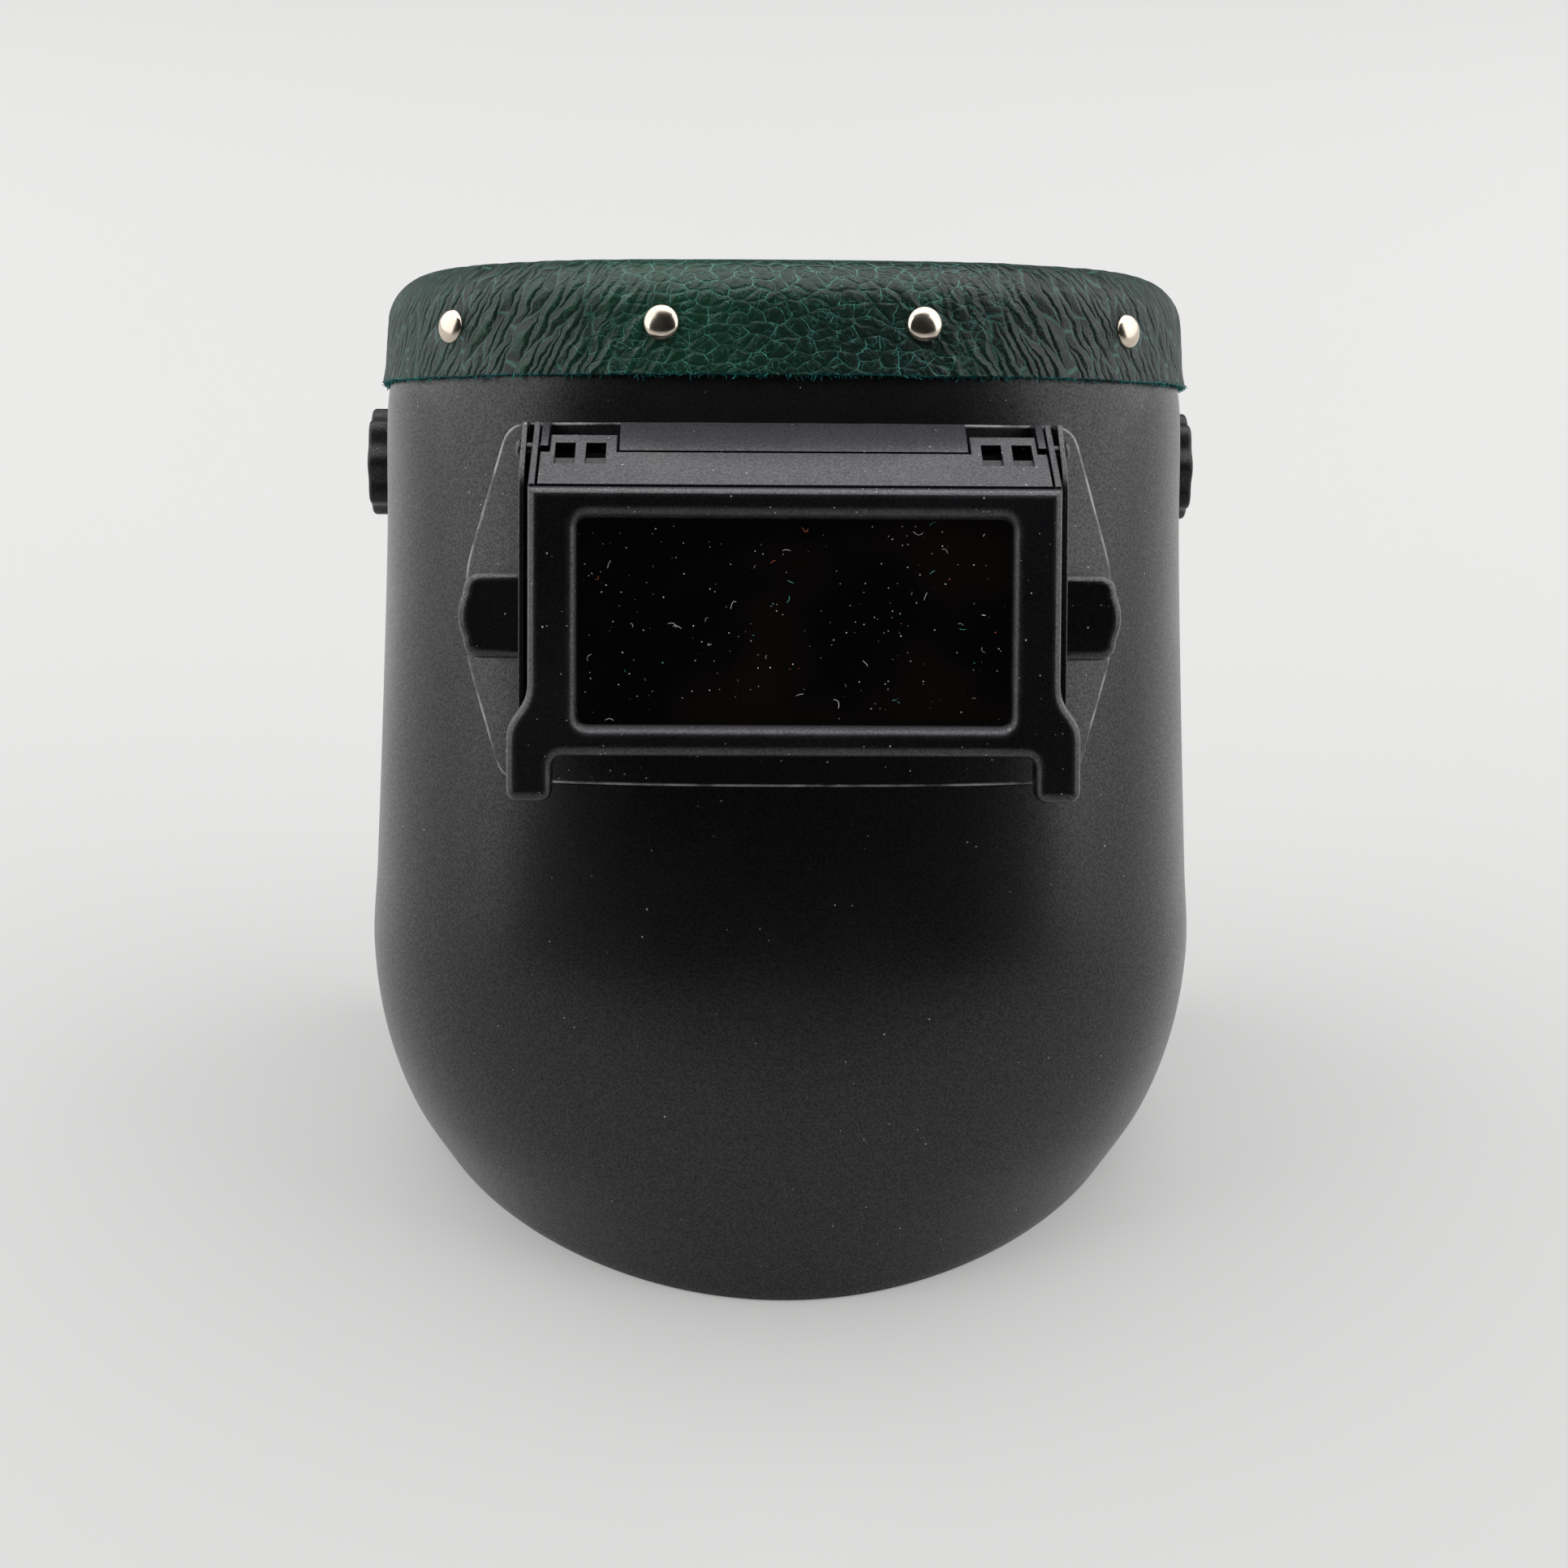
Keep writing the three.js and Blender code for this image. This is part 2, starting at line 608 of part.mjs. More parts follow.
function makeHolderBase() {
  const flange = loft(GAP + FLANGE.thickness).intersect(prismAlongY(flangeOutline(), 0, HOLDER_REACH.deep));
  const ears = mirrored(prismAlongY(earOutline(), EAR.front, HOLDER_REACH.deep, EAR.edge));
  const bar = roofStrip(BAR.front, -BAR.half, BAR.half);
  const ribs = mirrored(roofStrip(END_RIB.front, END_RIB.inner, END_RIB.outer));
  const ledge = box(-LEDGE.half, LEDGE.half, LEDGE.front, HOLDER_REACH.mid, SIDE_WALL.bottom, LEDGE.top);
  const pocketHalf = PLATE.width / 2 + GAP;
  const pocketBottom = WINDOW.z - PLATE.height / 2 - GAP;
  const pocketTop = WINDOW.z + PLATE.height / 2 + GAP;
  const { front, rim } = POCKET;
  const frame = box(
    -pocketHalf - rim, pocketHalf + rim, front, LEDGE.front + GAP, pocketBottom - rim, pocketTop + rim);
  const pocket = box(-pocketHalf, pocketHalf, 0, LEDGE.front, pocketBottom, pocketTop);
  const reach = LEDGE.openingHeight / 2;
  const opening = box(
    -LEDGE.opening, LEDGE.opening, 0, HOLDER_REACH.deep, WINDOW.z - reach, WINDOW.z + reach);
  const { half, bottom, top } = SHELL_WINDOW;
  const hollow = box(-half, half, LEDGE.rear, HOLDER_REACH.deep, bottom, top);
  const whole = join(flange, ears, sideWalls(), bar, ribs, ledge, frame);
  return cut(whole, pocket, opening, hollow, pinHoles(), loft(GAP));
}

// Knobs and studs.

function knobOutline() {
  const count = FLUTE.lobes * FLUTE.stepsPerLobe;
  const points = [];
  for (let i = 0; i < count; i += 1) {
    const turn = (i / count) * 2 * Math.PI;
    const dip = Math.abs(Math.cos(turn * FLUTE.lobes / 2)) ** FLUTE.sharpness;
    const radius = KNOB.radius - FLUTE.depth * dip;
    points.push([PIVOT.y + radius * Math.cos(turn), PIVOT.z + radius * Math.sin(turn)]);
  }
  return polygon(points);
}

function makeKnob() {
  const body = prismAlongX(knobOutline(), KNOB.inner, KNOB.outer, KNOB.edge);
  return cut(body, rodAlongX(KNOB.inner - GAP, STUD.outer + GAP, STUD.radius + GAP, PIVOT));
}

function makeStud() {
  const wallInside = sectionAt(PIVOT.z).half - WALL;
  const washerFace = wallInside - 2 * GAP;
  return join(
    rodAlongX(STUD.inner, STUD.outer, STUD.radius, PIVOT),
    rodAlongX(washerFace - STUD.washer, washerFace, STUD.washerRadius, PIVOT),
  );
}

// Assembly.

function pair(name, solid, finish) {
  return [
    piece(`${name}_right`, solid, finish),
    piece(`${name}_left`, solid.mirror([1, 0, 0]), finish),
  ];
}

const upright = new THREE.Group();
upright.add(piece('shell', makeShell(), FINISH.shell));
upright.add(piece('leather_cover', makeLeather(), FINISH.leather));
RIVET_PLAN_ANGLES.forEach((degrees, i) => {
  upright.add(piece(`rivet_${i + 1}`, makeRivet(degrees), FINISH.nickel));
});
upright.add(piece('holder_base', makeHolderBase(), FINISH.holder));
upright.add(piece('clear_lens', lensPlate(LEDGE.front - GAP), FINISH.clearPlate));

const liftFront = new THREE.Group();
liftFront.add(piece('lift_frame', makeLiftFrame(), FINISH.holder));
liftFront.add(piece('lift_tray', makeLiftTray(), FINISH.holder));
liftFront.add(piece('dark_lens', lensPlate(TRAY.seat - GAP), FINISH.darkGlass));
liftFront.add(...pair('hinge_pin', makePin(), FINISH.holder));
upright.add(liftFront);
upright.add(...pair('knob', makeKnob(), FINISH.knob));
upright.add(...pair('stud', makeStud(), FINISH.steel));

// Lean the hood back onto its rim, and put the middle of its footprint at the origin.
const hood = new THREE.Group();
upright.rotation.x = -LEAN;
hood.add(upright);
hood.updateMatrixWorld(true);
const bounds = new THREE.Box3().setFromObject(hood, true);
upright.position.set(0, -(bounds.min.y + bounds.max.y) / 2, -bounds.min.z);

export default hood;
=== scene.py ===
"""The looks of a welding hood: a black moulded shell with a cracked leather top, nickel rivets,
a lift-front lens holder and fluted side knobs.

Meshes are drawn in the hood's own upright frame, in millimetres: x to the right seen from the
front, y towards the back, z up, from the middle of the lift front's top front edge. They are then
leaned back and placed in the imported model's frame, in metres.
"""

import logging
import math
from dataclasses import dataclass, field
from enum import Enum
from typing import Any, Callable, Iterable, Sequence

import bmesh
import bpy
import numpy as np
from mathutils import Matrix, Vector, noise


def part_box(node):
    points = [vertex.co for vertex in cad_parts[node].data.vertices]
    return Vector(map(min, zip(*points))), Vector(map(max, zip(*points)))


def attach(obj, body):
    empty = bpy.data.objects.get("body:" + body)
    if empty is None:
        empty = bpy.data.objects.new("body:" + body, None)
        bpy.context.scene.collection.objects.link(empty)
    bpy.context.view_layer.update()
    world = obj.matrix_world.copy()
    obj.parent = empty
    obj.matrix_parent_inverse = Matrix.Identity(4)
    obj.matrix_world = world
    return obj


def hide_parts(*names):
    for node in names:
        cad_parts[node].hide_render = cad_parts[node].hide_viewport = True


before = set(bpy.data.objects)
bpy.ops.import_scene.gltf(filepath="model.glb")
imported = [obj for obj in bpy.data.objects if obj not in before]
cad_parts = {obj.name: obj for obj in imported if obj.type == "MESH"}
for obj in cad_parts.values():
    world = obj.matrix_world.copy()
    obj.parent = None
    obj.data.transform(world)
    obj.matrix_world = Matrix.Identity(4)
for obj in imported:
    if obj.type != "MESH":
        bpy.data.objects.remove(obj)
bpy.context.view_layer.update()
LOG = logging.getLogger("hood")

MM = 0.001
SMOOTH_ANGLE = math.radians(32)
PHOTO_PIXELS = 1932
TINY = 1e-9
NO_LENGTH = 1e-6
SHARPEST = 0.2
FULL_TURN = 6.28
WALL_WELD = 0.02
# How far apart faces are kept that would lie on one another, and how many times that within a piece.
APART = 0.02
INSIDE = 2.5

Pair = tuple[float, float]
Point = Pair
Place = tuple[float, float, float]
Loop = Sequence[Point]
Placing = Callable[[float, float, float], Place]
Depth = float | Callable[[float, float], float]
Colour = tuple[float, float, float]
Array = np.ndarray
Piece = bpy.types.Object
Material = bpy.types.Material
Tree = bpy.types.NodeTree
Node = bpy.types.Node
Socket = bpy.types.NodeSocket


class Body(Enum):
    """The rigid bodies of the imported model."""

    HOOD = "hood"
    LIFT_FRONT = "lift_front"
    LEFT_KNOB = "left_knob"
    RIGHT_KNOB = "right_knob"


class Slot(Enum):
    """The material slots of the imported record."""

    SHELL = "shell_plastic"
    LEATHER = "cover_leather"
    NICKEL = "rivet_nickel"
    HOLDER = "holder_plastic"
    DARK_GLASS = "dark_glass"
    CLEAR = "clear_plate"
    KNOB = "knob_plastic"
    STEEL = "stud_steel"


class Side(Enum):
    """The hood's two sides, by the sign of x."""

    LEFT = -1
    RIGHT = 1

    def span(self, inner: float, outer: float) -> list[float]:
        """Gives two distances from the middle plane as rising x limits on this side."""
        return sorted((self.value * inner, self.value * outer))


# Placing of flat shapes in the upright frame.


def across_x(y: float, z: float, x: float) -> Place:
    """Places a shape drawn in y and z, with its depth along x."""
    return (x, y, z)


def across_y(x: float, z: float, y: float) -> Place:
    """Places a shape drawn in x and z, with its depth along y."""
    return (x, y, z)


def across_z(x: float, y: float, z: float) -> Place:
    """Places a shape drawn in x and y, with its depth along z."""
    return (x, y, z)


def mirrored(loop: Loop) -> list[Point]:
    """Turns a loop over to the other side, still in the same sense."""
    return [(-x, z) for x, z in reversed(loop)]


def quarter_turn(steps: int) -> list[Point]:
    """Gives the sine and cosine at even steps from 0 to 90 degrees."""
    turns = [step / steps * math.pi / 2 for step in range(steps + 1)]
    return [(math.sin(turn), math.cos(turn)) for turn in turns]


def bezier(points: Loop, steps: int) -> list[Point]:
    """Samples a quadratic or cubic curve, without its first point.

    Args:
        points: The three or four control points.
        steps: How many points to give.

    Returns:
        The points along the curve.
    """
    degree = len(points) - 1
    found = []
    for step in range(1, steps + 1):
        t = step / steps
        shares = [math.comb(degree, i) * t**i * (1 - t) ** (degree - i) for i in range(degree + 1)]
        found.append(tuple(sum(s * p[k] for s, p in zip(shares, points)) for k in range(2)))
    return found


def rounded_loop(corners: Loop, radius: float, steps: int = 6) -> list[Point]:
    """Rounds every corner of a polygon.

    Args:
        corners: The polygon, counter-clockwise.
        radius: How far from a corner its curve starts.
        steps: Points along each curve.

    Returns:
        The rounded loop.
    """
    loop = []
    for i, corner in enumerate(corners):
        here = Vector(corner)
        before = Vector(corners[i - 1]) - here
        after = Vector(corners[(i + 1) % len(corners)]) - here
        start = here + before.normalized() * radius
        end = here + after.normalized() * radius
        loop.append(tuple(start))
        loop.extend(bezier([tuple(start), corner, tuple(end)], steps))
    return loop


def four_corners(across: Sequence[float], up: Sequence[float]) -> list[Point]:
    """Draws a rectangle between two limits each way, counter-clockwise."""
    return [(across[0], up[0]), (across[1], up[0]), (across[1], up[1]), (across[0], up[1])]


def rectangle(half: float, low: float, high: float, corner: float = 0.0) -> list[Point]:
    """Draws a rectangle about the middle plane, with rounded corners if asked."""
    corners = four_corners((-half, half), (low, high))
    return rounded_loop(corners, corner) if corner else corners


def offset_loop(loop: Loop, inset: float) -> Array:
    """Moves a closed loop to its left.

    Args:
        loop: The points, with the material on the left.
        inset: How far to move, in millimetres.

    Returns:
        The moved points, one row each.
    """
    points = np.array(loop, float)
    before = points - np.roll(points, 1, axis=0)
    after = np.roll(points, -1, axis=0) - points
    normals = []
    for run in (before, after):
        length = np.maximum(np.linalg.norm(run, axis=1, keepdims=True), TINY)
        normals.append(np.stack([-run[:, 1], run[:, 0]], axis=1) / length)
    together = 1 + (normals[0] * normals[1]).sum(axis=1, keepdims=True)
    return points + inset * (normals[0] + normals[1]) / np.maximum(together, SHARPEST)


def running(steps: Array, axis: int) -> Array:
    """Adds up steps along an axis, from zero."""
    start = np.zeros_like(np.take(steps, [0], axis))
    return np.concatenate([start, np.cumsum(steps, axis)], axis)


def resampled(loop: Loop, count: int) -> list[Point]:
    """Spreads a number of points evenly round a closed loop.

    Args:
        loop: The points of the loop.
        count: How many points to give.

    Returns:
        The evenly spaced points.
    """
    points = np.array([*loop, loop[0]], float)
    run = running(np.linalg.norm(np.diff(points, axis=0), axis=1), 0)
    at = np.linspace(0, run[-1], count, endpoint=False)
    return list(zip(np.interp(at, run, points[:, 0]), np.interp(at, run, points[:, 1])))


@dataclass(frozen=True)
class UprightFrame:
    """The hood's upright frame: how far it leans back, in degrees, and the studs' y and z."""

    lean: float = 24.0
    pivot: Point = (150.0, 7.0)

    def matrix(self) -> Matrix:
        """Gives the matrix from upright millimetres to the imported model's metres.

        Returns:
            The matrix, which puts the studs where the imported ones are.
        """
        turn = Matrix.Rotation(math.radians(-self.lean), 4, "X") @ Matrix.Scale(MM, 4)
        low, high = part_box("stud_right")
        shift = (low + high) / 2 - turn @ Vector((0, *self.pivot))
        return Matrix.Translation((0, shift.y, shift.z)) @ turn

    def point(self, x: float, y: float, z: float) -> Vector:
        """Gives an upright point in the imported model's frame."""
        return self.matrix() @ Vector((x, y, z))


UPRIGHT = UprightFrame()


class Sketch:
    """A mesh drawn in the upright frame from closed plates, turned bodies and rings."""

    RIM_STEPS = 5
    RIM_PAD = 0.15
    # Edge wear with a painted highlight on the rounded edges of plates.
    RIM_WEAR_AND_HIGHLIGHT = 0.03
    # The value on points that lie in a recess, which the material darkens as painted shade.
    RECESS_SHADE = -1.0
    WELD = 0.005

    def __init__(self) -> None:
        """Starts an empty mesh with a value on its points for edge wear, painted highlight and painted
        recess shade.
        """
        self.mesh = bmesh.new()
        self.wear_and_painted_light = self.mesh.verts.layers.float.new("wear_and_painted_light")

    def vertex(self, place: Iterable[float], wear_and_painted_light: float = 0.0) -> bmesh.types.BMVert:
        """Adds a point.

        Args:
            place: Its x, y and z.
            wear_and_painted_light: Its edge wear with painted highlight; negative values mark painted
                recess shade.

        Returns:
            The point.
        """
        vert = self.mesh.verts.new(place)
        vert[self.wear_and_painted_light] = wear_and_painted_light
        return vert

    def skin(self, rings: Sequence[Sequence[bmesh.types.BMVert]]) -> None:
        """Joins closed rings of equal length with four-sided faces."""
        for low, high in zip(rings, rings[1:]):
            count = len(low)
            for i in range(count):
                j = (i + 1) % count
                self.mesh.faces.new((low[i], low[j], high[j], high[i]))

    def cap(self, rings: Sequence[Sequence[bmesh.types.BMVert]]) -> None:
        """Fills the area between an outer ring and the rings of its holes."""
        edges = [
            self.mesh.edges.get((ring[i], ring[(i + 1) % len(ring)]))
            for ring in rings
            for i in range(len(ring))
        ]
        bmesh.ops.triangle_fill(self.mesh, use_beauty=True, edges=edges)

    def rims(self, low_round: float, high_round: float) -> list[tuple[float, bool, float, float]]:
        """Lists the rings of a plate's edge, from its low face to its high face.

        Args:
            low_round: The rounding at the low face.
            high_round: The rounding at the high face.

        Returns:
            For each ring its inset, whether it is measured from the low face, how far it is from
            that face, and its edge wear with painted highlight.
        """
        rows = []
        turns = quarter_turn(self.RIM_STEPS)
        for radius, from_low, way in ((low_round, True, 1), (high_round, False, -1)):
            edge = [(radius + self.RIM_PAD if radius else 0.0, from_low, 0.0, 0.0)]
            for sine, cosine in turns if radius else ():
                wear_and_painted_light = self.RIM_WEAR_AND_HIGHLIGHT * 2 * sine * cosine
                edge.append((radius * (1 - sine), from_low, radius * (1 - cosine), wear_and_painted_light))
            rows += edge[::way]
        return rows

    def plate(
        self,
        outer: Loop,
        low: float,
        high: Depth,
        place: Placing,
        holes: Sequence[Loop] = (),
        low_round: float = 0.0,
        high_round: float = 0.0,
        hole_round: float | None = None,
        painted_recess_shade: bool = False,
    ) -> None:
        """Adds a closed plate with rounded edges.

        Args:
            outer: The outline, counter-clockwise.
            low: The depth of the low face.
            high: The depth of the high face, or a function that gives it over the outline.
            place: Where a point of the outline and its depth go.
            holes: The outlines of holes, counter-clockwise.
            low_round: The rounding of the low face's edges.
            high_round: The rounding of the high face's edges.
            hole_round: The rounding of the low face round its holes, if it differs.
            painted_recess_shade: Whether it lies in a recess, which gets painted shade: less of the lighter
                film and less coat.
        """
        stacks = []
        inner_round = low_round if hole_round is None else hole_round
        loops = [(list(outer), low_round), *[(list(hole)[::-1], inner_round) for hole in holes]]
        for loop, edge in loops:
            rings = []
            for inset, from_low, away, wear_and_painted_light in self.rims(edge, high_round):
                ring = []
                for u, v in offset_loop(loop, inset):
                    top = high(u, v) if callable(high) else high
                    spot = place(u, v, low + away if from_low else top - away)
                    ring.append(self.vertex(spot, self.RECESS_SHADE if painted_recess_shade else wear_and_painted_light))
                rings.append(ring)
            self.skin(rings)
            stacks.append(rings)
        self.cap([rings[0] for rings in stacks])
        self.cap([rings[-1] for rings in stacks])

    def box(self, x: Sequence[float], y: Sequence[float], z: Sequence[float], edge: float = 0.3) -> None:
        """Adds a block with rounded edges, from pairs of limits along x, y and z."""
        self.plate(four_corners(x, z), *y, across_y, (), edge, edge)

    def turned(self, profile: Loop, axis: Point, segments: int = 56) -> None:
        """Adds a body turned about a line along x.

        Args:
            profile: Pairs of x and radius, from one end on the axis to the other.
            axis: The y and z of the line.
            segments: Faces round the line.
        """
        rings = []
        for x, radius in profile[1:-1]:
            ring = []
            for i in range(segments):
                turn = 2 * math.pi * i / segments
                y, z = axis[0] + radius * math.cos(turn), axis[1] + radius * math.sin(turn)
                ring.append(self.vertex((x, y, z)))
            rings.append(ring)
        self.skin(rings)
        for (x, _), ring in ((profile[0], rings[0]), (profile[-1], rings[-1])):
            middle = self.vertex((x, *axis))
            for i in range(segments):
                self.mesh.faces.new((ring[i], ring[(i + 1) % segments], middle))

    def finish(self, name: str, mirror: bool = False) -> Piece:
        """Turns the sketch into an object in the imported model's frame.

        Args:
            name: The object's name.
            mirror: Whether the sketch is of the right side and the left is wanted.

        Returns:
            The object, at the origin.
        """
        bmesh.ops.remove_doubles(self.mesh, verts=self.mesh.verts, dist=self.WELD)
        if mirror:
            bmesh.ops.scale(self.mesh, vec=(-1, 1, 1), verts=self.mesh.verts)
        bmesh.ops.recalc_face_normals(self.mesh, faces=self.mesh.faces)
        data = bpy.data.meshes.new(name)
        self.mesh.to_mesh(data)
        self.mesh.free()
        data.transform(UPRIGHT.matrix())
        return new_object(name, data)


def new_object(name: str, data: bpy.types.Mesh) -> Piece:
    """Links a smooth-shaded object at the origin.

    Args:
        name: The object's name.
        data: Its mesh.

    Returns:
        The object.
    """
    data.shade_smooth()
    data.set_sharp_from_angle(angle=SMOOTH_ANGLE)
    obj = bpy.data.objects.new(name, data)
    bpy.context.scene.collection.objects.link(obj)
    return obj


def bake(obj: Piece) -> None:
    """Turns an object's modifiers into its plain mesh.

    Args:
        obj: The object.
    """
    bpy.context.view_layer.update()
    shown = obj.evaluated_get(bpy.context.evaluated_depsgraph_get())
    data = bpy.data.meshes.new_from_object(shown)
    obj.modifiers.clear()
    obj.data = data


def dress(obj: Piece, body: Body, slot: Slot, finish: Material, *nodes: str) -> None:
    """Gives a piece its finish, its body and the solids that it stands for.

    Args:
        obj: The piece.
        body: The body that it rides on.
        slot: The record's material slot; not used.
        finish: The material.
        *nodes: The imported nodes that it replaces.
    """
    obj.data.materials.clear()
    obj.data.materials.append(finish)
    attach(obj, body.value)
    if nodes:
        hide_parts(*nodes)
    LOG.info("%s: %d faces on %s", obj.name, len(obj.data.polygons), body.value)


# Node trees.


class NodeSheet:
    """A node tree that is written line by line."""

    def __init__(self, tree: Tree) -> None:
        """Takes the tree to write in."""
        self.tree = tree

    def feed(self, socket: Socket, value: Any) -> None:
        """Links a socket to another, or sets its value."""
        if isinstance(value, Socket):
            self.tree.links.new(value, socket)
        else:
            socket.default_value = value

    def fill(self, node: Node, inputs: dict) -> None:
        """Feeds inputs of a node by name or number."""
        for key, value in inputs.items():
            self.feed(node.inputs[key], value)

    def add(self, kind: str, inputs: dict | None = None, **settings: Any) -> Node:
        """Adds a node.

        Args:
            kind: The node's type.
            inputs: Values or sockets by input name or number.
            **settings: The node's own settings.

        Returns:
            The node.
        """
        node = self.tree.nodes.new(kind)
        for name, value in settings.items():
            setattr(node, name, value)
        self.fill(node, inputs or {})
        return node

    def get(self, kind: str, inputs: dict | None = None, **settings: Any) -> Socket:
        """Adds a node and gives its first result."""
        return self.add(kind, inputs, **settings).outputs[0]

    def math(self, operation: str, *values: Any) -> Socket:
        """Adds a number operation and gives its result."""
        return self.get("ShaderNodeMath", dict(enumerate(values)), operation=operation)

    def times(self, first: Any, second: Any) -> Socket:
        """Multiplies two numbers."""
        return self.math("MULTIPLY", first, second)

    def weighted(self, value: Any, share: Any, rest: Any) -> Socket:
        """Adds a share of a value to the rest."""
        return self.math("MULTIPLY_ADD", value, share, rest)

    def vector(self, operation: str, *values: Any) -> Socket:
        """Adds a vector operation.

        Args:
            operation: The operation's name.
            *values: Its inputs.

        Returns:
            Its vector, or its number for a dot product or length.
        """
        node = self.add("ShaderNodeVectorMath", operation=operation)
        for key, value in enumerate(values):
            self.feed(node.inputs["Scale" if operation == "SCALE" and key else key], value)
        return node.outputs["Value" if operation in ("DOT_PRODUCT", "LENGTH") else "Vector"]

    def mix(self, share: Any, first: Any, second: Any) -> Socket:
        """Adds a mix of two colours and gives its colour."""
        inputs = {0: share, 6: rgba(first), 7: rgba(second)}
        return self.add("ShaderNodeMix", inputs, data_type="RGBA").outputs[2]

    def ramp(self, value: Any, start: Any, end: Any, low: float = 0.0, high: float = 1.0) -> Socket:
        """Adds a smooth step between two values and gives its result."""
        inputs = {"Value": value, "From Min": start, "From Max": end, "To Min": low, "To Max": high}
        return self.get("ShaderNodeMapRange", inputs, interpolation_type="SMOOTHSTEP")

    def noise(self, vector: Any, scale: float, detail: float, result: str = "Fac") -> Socket:
        """Adds a noise texture and gives one of its results."""
        inputs = {"Vector": vector, "Scale": scale, "Detail": detail}
        return self.add("ShaderNodeTexNoise", inputs).outputs[result]

    def group(self, tree: Tree, inputs: dict) -> Socket:
        """Places a shader group with its own values and gives its result."""
        return self.get("ShaderNodeGroup", inputs, node_tree=tree)

    def xyz(self, x: Any = 0.0, y: Any = 0.0, z: Any = 0.0) -> Socket:
        """Makes a vector of three numbers."""
        return self.get("ShaderNodeCombineXYZ", {0: x, 1: y, 2: z})

    def join(self, parts: Sequence[Socket]) -> Socket:
        """Joins pieces of geometry.

        Args:
            parts: The pieces.

        Returns:
            All of them together.
        """
        node = self.add("GeometryNodeJoinGeometry")
        for part in parts:
            self.tree.links.new(part, node.inputs[0])
        return node.outputs[0]

    def random(self, low: float, high: float, seed: int) -> Socket:
        """Adds a seeded random number and gives it."""
        inputs = {2: low, 3: high, "Seed": seed}
        return self.add("FunctionNodeRandomValue", inputs).outputs[1]

    def random_vector(self, low: Place, high: Place, seed: int) -> Socket:
        """Adds a seeded random vector and gives it."""
        inputs = {0: low, 1: high, "Seed": seed}
        return self.get("FunctionNodeRandomValue", inputs, data_type="FLOAT_VECTOR")

    def bump(self, height: Any, strength: float, depth: float) -> Socket:
        """Adds a relief of a depth in millimetres and gives its normal."""
        inputs = {"Strength": strength, "Distance": depth * MM, "Height": height}
        return self.get("ShaderNodeBump", inputs)

    def place(self) -> Socket:
        """Adds the place on the piece and gives its vector."""
        return self.add("ShaderNodeTexCoord").outputs["Object"]

    def value(self, name: str) -> Socket:
        """Adds a value kept on the mesh and gives it."""
        return self.add("ShaderNodeAttribute", attribute_name=name).outputs["Fac"]


def rgba(colour: Any) -> Any:
    """Gives a colour its alpha, and leaves a socket as it is."""
    return (*colour, 1.0) if isinstance(colour, tuple) and len(colour) == 3 else colour


def new_tree(
    name: str, kind: str, inputs: dict[str, str], outputs: dict[str, str]
) -> tuple[NodeSheet, Any, Node]:
    """Makes a node group with named sockets.

    Args:
        name: The group's name.
        kind: The tree's type.
        inputs: The socket type of each input.
        outputs: The socket type of each output.

    Returns:
        The sheet to write in, the sockets of the inputs and the output node.
    """
    tree = bpy.data.node_groups.new(name, kind)
    for direction, sockets in (("INPUT", inputs), ("OUTPUT", outputs)):
        for label, socket in sockets.items():
            tree.interface.new_socket(name=label, in_out=direction, socket_type=socket)
    sheet = NodeSheet(tree)
    return sheet, sheet.add("NodeGroupInput").outputs, sheet.add("NodeGroupOutput")


FLOAT = "NodeSocketFloat"
INTEGER = "NodeSocketInt"
VECTOR = "NodeSocketVector"
GEOMETRY = "NodeSocketGeometry"


